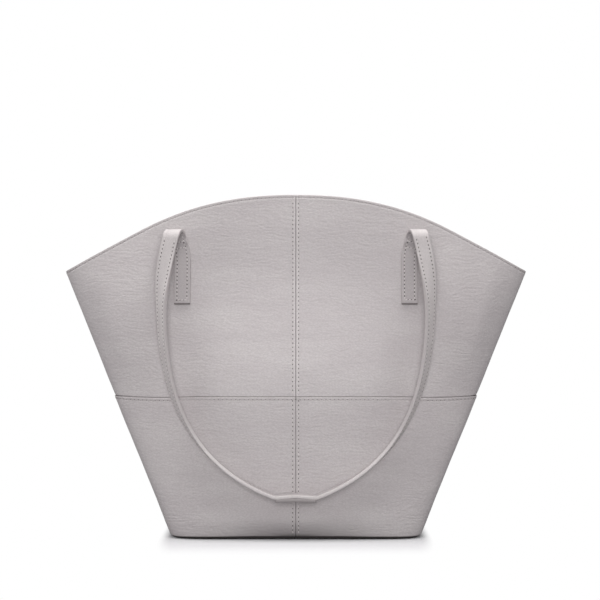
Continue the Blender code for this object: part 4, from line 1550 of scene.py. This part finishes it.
def leg_outline(foot):
    """The leg in front view, from the fold down to the middle of the strap."""
    widest = Vector((foot.x + LEG_BOW, foot.z - LEG_BOW_DROP))
    low = Vector((SPLICE_LENGTH / 2, foot.z - STRAP_DROP))
    top = Vector((foot.x, foot.z))
    top_handle = top + Vector((SPLAY_SLOPE, -1)) * LEG_TOP_HANDLE
    shoulder = (top, top_handle, widest + Vector((0, LEG_SHOULDER_HANDLE)), widest)
    back = Vector((math.cos(LEG_LOW_ANGLE), math.sin(LEG_LOW_ANGLE))) * LEG_LOW_HANDLE
    side = (widest, widest - Vector((0, LEG_SIDE_HANDLE)), low + back, low)
    dense = [bezier(shoulder, i / CURVE_STEPS) for i in range(CURVE_STEPS)]
    dense += [bezier(side, i / CURVE_STEPS) for i in range(CURVE_STEPS)]
    for i in range(CURVE_STEPS + 1):
        share = i / CURVE_STEPS
        dense.append(Vector((low.x * (1 - share), low.y + SPLICE_BOW * share * (2 - share))))
    return dense


def evenly(line, step):
    """The same line in even steps, from its first point to its last."""
    lengths = lengths_along(line)
    count, place, found = max(2, round(lengths[-1] / step)), 0, []
    for i in range(count + 1):
        mark = lengths[-1] * i / count
        while place < len(line) - 2 and lengths[place + 1] < mark:
            place += 1
        span = lengths[place + 1] - lengths[place]
        found.append(line[place].lerp(line[place + 1], (mark - lengths[place]) / span))
    return found


def hang_offset(height, top_height, bottom_height):
    """How far in front of the wall the strap hangs, less towards its bottom."""
    start = TAB_SEAT + RISER_LIFT + 2 * FOLD_RADIUS
    end = STRAP_WIDTH / 2 + HANG_CLEARANCE
    share = max(0.0, min(1.0, (height - bottom_height) / (top_height - bottom_height)))
    return end + (start - end) * share**2 * (3 - 2 * share)


def leg_places(start):
    """Points down the leg in even steps, the first one at the end of the fold."""
    outline = leg_outline(start)
    line = []
    for x, height in outline:
        point, _, out = front_frame(x, height)
        line.append(point + out * hang_offset(height, start.z, outline[-1].y))
    line = [point + (start - line[0]) * (1 - i / len(line)) for i, point in enumerate(line)]
    return evenly(line, LEG_STEP)


leg_line = leg_places(fold_stations[-1][0])
print("a leg is walked in", len(leg_line), "points down to a height of", round(leg_line[-1].z, 4))

# %% [markdown]
# The leg turns edge on quickly below the fold and then evenly. Near the fold it keeps the
# fold's own direction. The other half of the strap is this half mirrored.
# %% Turn the leg edge on and mirror it
TWIST_START = 0.010
TOP_TWIST = math.radians(45)
TOP_TWIST_LENGTH = 0.060
TWIST_LENGTH = 0.270
EASE_LENGTH = 0.012
AHEAD = Vector((0, -1, 0))


def twist_at(walked):
    """How far a leg has turned edge on: half of it quickly below the fold, the rest evenly."""
    past = max(0.0, walked - TWIST_START)
    quick, even = min(1.0, past / TOP_TWIST_LENGTH), min(1.0, past / TWIST_LENGTH)
    return TOP_TWIST * smooth(quick) + (math.pi / 2 - TOP_TWIST) * even


def walk_leg(places, foot_across, foot_facing):
    """Stations down a leg: each a point, the way across the strap and the way its face looks."""
    stations, walked = [], 0.0
    for i in range(1, len(places)):
        before, after = places[i - 1], places[min(i + 1, len(places) - 1)]
        walked += (places[i] - before).length
        along = (after - before).normalized() if i < len(places) - 1 else Vector((-1, 0, 0))
        ahead = (AHEAD - along * AHEAD.dot(along)).normalized()
        outward = ahead.cross(along).normalized()
        twist = twist_at(walked)
        across = outward * math.cos(twist) - ahead * math.sin(twist)
        facing = ahead * math.cos(twist) + outward * math.sin(twist)
        ease = max(0.0, 1 - walked / EASE_LENGTH)
        across = across.lerp(foot_across, ease).normalized()
        facing = facing.lerp(foot_facing, ease).normalized()
        stations.append((places[i], across, facing))
    return stations


def mirrored(station):
    flip = Matrix.Diagonal((-1, 1, 1))
    return tuple(flip @ part for part in station)


def run_of(stations):
    """How far each station lies along the strap."""
    return lengths_along([station[0] for station in stations])


leg_stations = walk_leg(leg_line, *fold_stations[-1][1:])
right_half = tab_stations + fold_stations + leg_stations
STRAP = [mirrored(station) for station in right_half] + right_half[-2::-1]
print("a strap is", round(run_of(STRAP)[-1], 3), "m long in", len(STRAP), "stations")

# %% [markdown]
# ## The section of a strap
# A strap is two layers of leather glued back to back, the one at the back drawn a little
# darker as painted shade, with painted edges and a groove for the stitches near each edge.
# Half of its cross-section is drawn, from the middle of one face round an edge to the other
# face, and mirrored.
# %% Draw the section
ROW_OFFSET = 0.0048
GROOVE_WIDTH = 0.00045
GROOVE_DEPTH = 0.00016
PAINT_START = 0.0070
CROWN = 0.00010
EDGE_WIDE_POWER, EDGE_TALL_POWER = 0.6, 0.55
FACE_PLACES = (0.0, 0.0022, 0.0036, 0.0041, 0.00445, 0.0048, 0.00515, 0.0055, 0.0062, PAINT_START)
EDGE_TURNS = (0.30, 0.60, 0.85, 1.0)


def half_section():
    """Points at a distance across the strap from its middle and out of its face."""
    half = STRAP_THICKNESS / 2
    face = []
    for place in FACE_PLACES:
        crown = CROWN * (place / PAINT_START) ** 2
        face.append((place, half - crown - dip(place, ROW_OFFSET, GROOVE_WIDTH, GROOVE_DEPTH)))
    start = face[-1][1]
    edge = []
    for turn in EDGE_TURNS:
        angle = math.pi / 2 * turn
        reach = (STRAP_WIDTH / 2 - PAINT_START) * math.sin(angle) ** EDGE_WIDE_POWER
        fall = max(math.cos(angle), 0.0) ** EDGE_TALL_POWER
        edge.append((PAINT_START + reach, start * fall))
    upper = face + edge
    return upper + [(u, -v) for u, v in upper[-2::-1]]


RIGHT_SECTION = half_section()
SECTION = RIGHT_SECTION + [(-u, v) for u, v in RIGHT_SECTION[-2:0:-1]]
section_run = [0.0]
for before, after in zip(SECTION, SECTION[1:] + SECTION[:1]):
    section_run.append(section_run[-1] + math.dist(before, after))
print("the section has", len(SECTION), "points and is", round(section_run[-1], 4), "m round")

# %% [markdown]
# The section is carried along the stations as a grid that is rolled up. Its map says how far
# along the strap and how far round the section each point is, so the grain follows the strap.
# The same two numbers tell the front, the back, the edges and the cut ends apart.
# %% Carry the section along the strap
END_ROUND = 0.0013
END_STEPS = (0.0003, 0.0007, END_ROUND)
END_THINNING = 0.6
END_NARROWING = 0.03
EDGE_SLOT, BACK_SLOT, END_SLOT = 1, 2, 3


def paint_faces(piece, length):
    """Gives each face of a strap the slot of the front, the back, an edge or a cut end."""
    chart = piece.data.uv_layers.active.data
    width, half = section_run[len(FACE_PLACES) - 1], section_run[-1] / 2
    for face in piece.data.polygons:
        along = sum(chart[i].uv.x for i in face.loop_indices) / face.loop_total
        across = sum(chart[i].uv.y for i in face.loop_indices) / face.loop_total
        if face.loop_total > 4 or min(along, length - along) < END_ROUND:
            face.material_index = END_SLOT
        elif abs(across - half) < width:
            face.material_index = BACK_SLOT
        elif min(across, section_run[-1] - across) > width:
            face.material_index = EDGE_SLOT


def sweep(name, stations, middle=0.0, paint=strap_edge_paint, end_paint=strap_end_paint):
    """The strap's section carried along stations, closed and rounded at both painted ends."""
    run = run_of(stations)

    def place_of(column, row):
        centre, across, facing = stations[column]
        u, v = SECTION[row % len(SECTION)]
        from_end = min(run[column], run[-1] - run[column])
        squeeze = 1 - END_THINNING * max(0.0, 1 - from_end / END_ROUND) ** 2
        narrow = (1 - END_NARROWING) + END_NARROWING * squeeze
        return centre + across * u * narrow + facing * (v * squeeze + middle)

    def map_of(column, row):
        return run[column], section_run[row]

    piece = cut_grid(name, len(stations) - 1, len(SECTION), place_of, map_of)
    close_tube(piece)
    finish_piece(piece, strap_leather, paint, strap_back_shaded_leather, end_paint)
    paint_faces(piece, run[-1])
    return piece


def end_stations(near, next_one):
    """Three stations just inside an end, for its rounding."""
    length = (next_one[0] - near[0]).length
    return [tuple(a.lerp(b, mark / length) for a, b in zip(near, next_one)) for mark in END_STEPS]


def with_end_stations(stations):
    first = end_stations(stations[0], stations[1])
    last = end_stations(stations[-1], stations[-2])
    return stations[:1] + first + stations[1:-1] + last[::-1] + stations[-1:]


ROUNDED_STRAP = with_end_stations(STRAP)
print("ready to sweep", len(ROUNDED_STRAP), "stations")

# %% [markdown]
# ## The stitches of a strap
# A row of stitches runs near each edge. On the tabs and folds it shows on the side that
# looks away from the bag, and on the hanging part on both sides, where the inner side's
# stitches are drawn in flush. Short rows cross a tab at its cut end and above, where it takes
# the load.
# %% Seats along the strap
FACE_V = STRAP_THICKNESS / 2 - GROOVE_DEPTH
SINK = 0.00012
CROSS_STITCHES = 3
CROSS_LIFT = 0.0001
END_ROW = 0.0042
TOP_ROWS = (0.0545, 0.0606)
BARE = TAB_STEPS + RISER_STEPS + FOLD_STEPS
HANGING = STRAP[BARE : len(STRAP) - BARE]


def seats_on_strap(stations, u, v, start, stop):
    """Seats along a line at u across and v out of the strap, with gaps at its two ends."""
    line = [centre + across * u + facing * v for centre, across, facing in stations]
    outs = [facing * math.copysign(1, v) for _, _, facing in stations]
    end = lengths_along(line)[-1] - stop
    return [
        (point, along, outs[min(round(place), len(outs) - 1)])
        for point, along, place in along_line(line, STRAP_PITCH, start, end)
    ]


def cross_seats(stations, mark):
    """A short row straight across a tab, at a distance from its cut end."""
    run = run_of(stations)
    i = sum(walked < mark for walked in run) - 1
    centre, across, facing = stations[i]
    along = (stations[i + 1][0] - centre).normalized()
    here = centre + along * (mark - run[i])
    span = 2 * ROW_OFFSET
    seats = []
    for k in range(CROSS_STITCHES):
        u = -span / 2 + span * (k + 0.5) / CROSS_STITCHES
        seats.append((here + across * u - facing * (FACE_V + CROSS_LIFT), across, -facing))
    return seats


def strap_seats():
    """The stitches of the tabs and folds, and of the outer side of the hanging part."""
    seats = []
    for u in (ROW_OFFSET, -ROW_OFFSET):
        for end in (STRAP[: BARE + 1], STRAP[: -BARE - 2 : -1]):
            seats += seats_on_strap(end, u, -FACE_V, END_ROW, 0.0)
        seats += seats_on_strap(HANGING, u, FACE_V, 0.0, 0.0)
    for mark in (END_ROW, *TOP_ROWS):
        seats += cross_seats(STRAP, mark) + cross_seats(STRAP[::-1], mark)
    return seats


STRAP_SEATS, STRAP_BACK_SEATS = strap_seats(), []
for u in (ROW_OFFSET, -ROW_OFFSET):
    STRAP_BACK_SEATS += seats_on_strap(HANGING, u, SINK - FACE_V, STRAP_PITCH / 2, STRAP_PITCH / 2)
print("seats on a strap:", len(STRAP_SEATS), "and on its inner side", len(STRAP_BACK_SEATS))

# %% [markdown]
# ## The splice
# Under the middle a second short layer, the splice, joins the strap's two halves. It is a
# piece of the same strap that lies under it and follows its slight arc.
# %% Lay out the splice
SPLICE_THICKNESS = 0.0034
SPLICE_STEPS = 12
SPLICE_END_GAP = 0.003
UNDER = STRAP_THICKNESS / 2 + SPLICE_THICKNESS / 2


def splice_stations():
    """Stations along the splice, from left to right."""
    middle = STRAP[len(STRAP) // 2][0]
    stations = []
    for i in range(2 * SPLICE_STEPS + 1):
        x = SPLICE_LENGTH / 2 * (i / SPLICE_STEPS - 1)
        from_end = 1 - abs(x) / (SPLICE_LENGTH / 2)
        centre = Vector((x, middle.y, middle.z - SPLICE_BOW * (1 - from_end) ** 2))
        stations.append((centre, Vector((0, 1, 0)), Vector((0, 0, -1))))
    return stations


SPLICE = splice_stations()
SPLICE_SEATS = []
for u in (ROW_OFFSET, -ROW_OFFSET):
    SPLICE_SEATS += seats_on_strap(SPLICE, u, UNDER + FACE_V, SPLICE_END_GAP, SPLICE_END_GAP)
print("the splice has", len(SPLICE), "stations and", len(SPLICE_SEATS), "stitches")

for facing, face in FACES:
    strap = sweep(f"{face}_strap_leather", ROUNDED_STRAP)
    rows = sew(f"{face}_strap_stitches", strap_stitch, STRAP_SEATS)
    for piece in (strap, rows):
        if facing == BACK:
            turn_to_back(piece)
        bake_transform(piece)
    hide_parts(f"{face}_strap")
    for hand in ("left", "right"):
        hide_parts(f"{face}_{hand}_strap_tab", f"{face}_{hand}_strap_fold")
    splice = with_end_stations(SPLICE)
    patch = sweep(f"{face}_splice_leather", splice, UNDER, splice_edge_paint, splice_end_paint)
    patch_rows = sew(f"{face}_splice_stitches", strap_stitch, SPLICE_SEATS)
    back_rows = sew(f"{face}_strap_back_stitches", strap_back_stitch, STRAP_BACK_SEATS)
    for piece in (patch, patch_rows, back_rows):
        if facing == BACK:
            turn_to_back(piece)
        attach(piece, f"{face}_strap")
    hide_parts(f"{face}_strap_splice")
print("straps:", len(strap.data.polygons), "faces and", len(STRAP_SEATS), "stitches each")

# %% [markdown]
# ## The lining
# The lining is a woven cloth bag sewn to the lower edge of the facings. It is stretched over
# the walls, with a few soft wrinkles that come from slow noise, so no cloth has to be
# simulated. It keeps its own thickness behind the felt of the tabs.
# %% Sew the lining
TAB_BACKING = 0.0007
LINING_THICKNESS = 0.0006
LINING_OUTER = LAP_STEP + UPPER_LEATHER + TAB_BACKING + 2 * SEAT_GAP
LINING_INNER = LINING_OUTER + LINING_THICKNESS
LINING_FOOT = 0.0049
LINING_ROWS = 40
SAG_DEPTH = 0.0022
SAG_WAVES = 18
SAG_WAVES_UP = 7
WRINKLE_DEPTH = 0.0006
WRINKLE_WAVES = 30
WRINKLE_WAVES_UP = 50
WRINKLE_SHIFT = 9


def lining_sag(place, height, share):
    """How far the cloth stands off the wall at a share of its way up, none at its edges."""
    here = Vector((place.x * SAG_WAVES, place.y * SAG_WAVES, height * SAG_WAVES_UP))
    sag = max(noise.noise(here), 0.0) * SAG_DEPTH
    x, y = place.x * WRINKLE_WAVES + WRINKLE_SHIFT, place.y * WRINKLE_WAVES
    wrinkle = noise.noise(Vector((x, y, height * WRINKLE_WAVES_UP)))
    sag += max(wrinkle, 0.0) * WRINKLE_DEPTH
    return sag * math.sin(math.pi * share) ** 0.5


def lining_point(column, row):
    """A point of the front lining, which reaches from the base up to the facing."""
    turn, share = RIM_TURNS[column], row / LINING_ROWS
    height = LINING_FOOT
    for _ in range(6):
        top = rim_height(signed_wall(turn, height, LINING_INNER).x) - FACING_HEIGHT - SEAT_GAP
        height = LINING_FOOT + (top - LINING_FOOT) * share
    place = signed_wall(turn, height, LINING_INNER)
    inset = LINING_INNER + lining_sag(place, height, share) + max(bow(place.x, height), 0.0)
    return signed_wall(turn, height, inset)


def surface_area(piece):
    return sum(face.area for face in piece.data.polygons)


for facing, face in FACES:
    cloth = cut_grid(f"{face}_lining_cloth", len(RIM_TURNS) - 1, LINING_ROWS, lining_point)
    cloth.data.flip_normals()
    cloth_area = surface_area(cloth)
    thicken(cloth, LINING_THICKNESS)
    if facing == BACK:
        turn_to_back(cloth)
    finish_piece(cloth, lining_cloth)
    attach(cloth, "bag")
    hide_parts(f"{face}_lining")
    print(cloth.name, "has an area of", round(cloth_area, 4), "square metres")

# %% [markdown]
# ## The pocket
# A flat pocket of the same cloth, with its mouth bound in leather, is sewn to the lining of
# the back. Both are square sheets laid on the wall, each with a rule for how far it stands
# off the lining.
# %% Rules for the pocket
POCKET_WIDTH = 0.180
POCKET_BOTTOM = 0.125
POCKET_TOP = 0.245
POCKET_CLOTH = 0.0008
POCKET_BAG = 0.0016
BINDING_THICKNESS = 0.0014
BINDING_HEIGHT = 0.012
BINDING_EDGE = 0.001
BINDING_EDGE_FALL = 0.8
BINDING_BAG = 0.0009
POCKET_MOUTH = POCKET_TOP - BINDING_HEIGHT
POCKET_SEAT = LINING_INNER + SEAT_GAP
POCKET_COLUMNS, POCKET_ROWS, BINDING_ROWS = 60, 24, 12
POCKET_END_POWER = 0.7
POCKET_WAVES = 5
POCKET_WAVES_UP = 2.5
POCKET_SHIFT = 3.0
POCKET_FILL = 0.35


def pocket_rise(across, up):
    """How far the pocket stands off the lining, more in its middle and towards its mouth."""
    here = Vector((across * POCKET_WAVES, up * POCKET_WAVES_UP, POCKET_SHIFT))
    hills = max(noise.noise(here) + POCKET_FILL, 0.0)
    bagged = math.sin(math.pi * across) ** POCKET_END_POWER
    return POCKET_CLOTH + hills * POCKET_BAG * bagged * up**0.5


def binding_rise(across, up):
    """How far the binding stands off the lining."""
    edge = rounded_edge(min(up, 1 - up) * BINDING_HEIGHT, BINDING_EDGE) * BINDING_EDGE_FALL
    bagged = math.sin(math.pi * across) ** POCKET_END_POWER
    return BINDING_THICKNESS - edge + BINDING_BAG * bagged


def wall_sheet(name, rows, low, high, rise_of):
    """A sheet square on the lining of the front, between two heights, facing into the bag."""

    def place_of(column, row):
        across, up = column / POCKET_COLUMNS, row / rows
        x = POCKET_WIDTH * (across - 0.5)
        height = low + (high - low) * row / rows
        inset = POCKET_SEAT + rise_of(across, up) + max(bow(x, height), 0.0)
        return Vector((x, front_y(x, height, inset), height))

    sheet = cut_grid(name, POCKET_COLUMNS, rows, place_of)
    sheet.data.flip_normals()
    return sheet


print("the pocket is", POCKET_WIDTH, "m wide and", round(POCKET_TOP - POCKET_BOTTOM, 3), "m high")

# %% [markdown]
# The pocket and its binding are cut, given their thickness and carried to the back.
# %% Sew the pocket and bind its mouth
pocket = wall_sheet(
    "inner_pocket_cloth", POCKET_ROWS, POCKET_BOTTOM, POCKET_MOUTH, pocket_rise
)
pocket_area = surface_area(pocket)
thicken(pocket, POCKET_CLOTH)
binding = wall_sheet(
    "inner_pocket_binding_leather", BINDING_ROWS, POCKET_MOUTH, POCKET_TOP, binding_rise
)
thicken(binding, BINDING_THICKNESS)
finish_piece(pocket, lining_cloth)
finish_piece(binding, panel_leather)
for piece, node, slot in (
    (pocket, "inner_pocket", "lining_cloth"),
    (binding, "inner_pocket_binding", "grey_leather"),
):
    turn_to_back(piece)
    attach(piece, "bag")
    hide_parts(node)
print(pocket.name, "has an area of", round(pocket_area, 4), "square metres")

# %% [markdown]
# ## The solids that stay as they are
# The base, its board, the felt behind the tabs and the snap already have their real shapes,
# so they only get their finishes.
# %% Finish the solids that stay
STAYING = {
    "base_panel": panel_leather,
    "base_board": board,
    "base_lining": lining_cloth,
    "snap_stud": nickel,
    "snap_socket": nickel,
}
for face in ("front", "back"):
    for hand in ("left", "right"):
        STAYING[f"{face}_{hand}_tab_backing"] = felt
for node, finish in STAYING.items():
    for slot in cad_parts[node].material_slots:
        slot.material = finish
print("finished as they are:", ", ".join(STAYING))
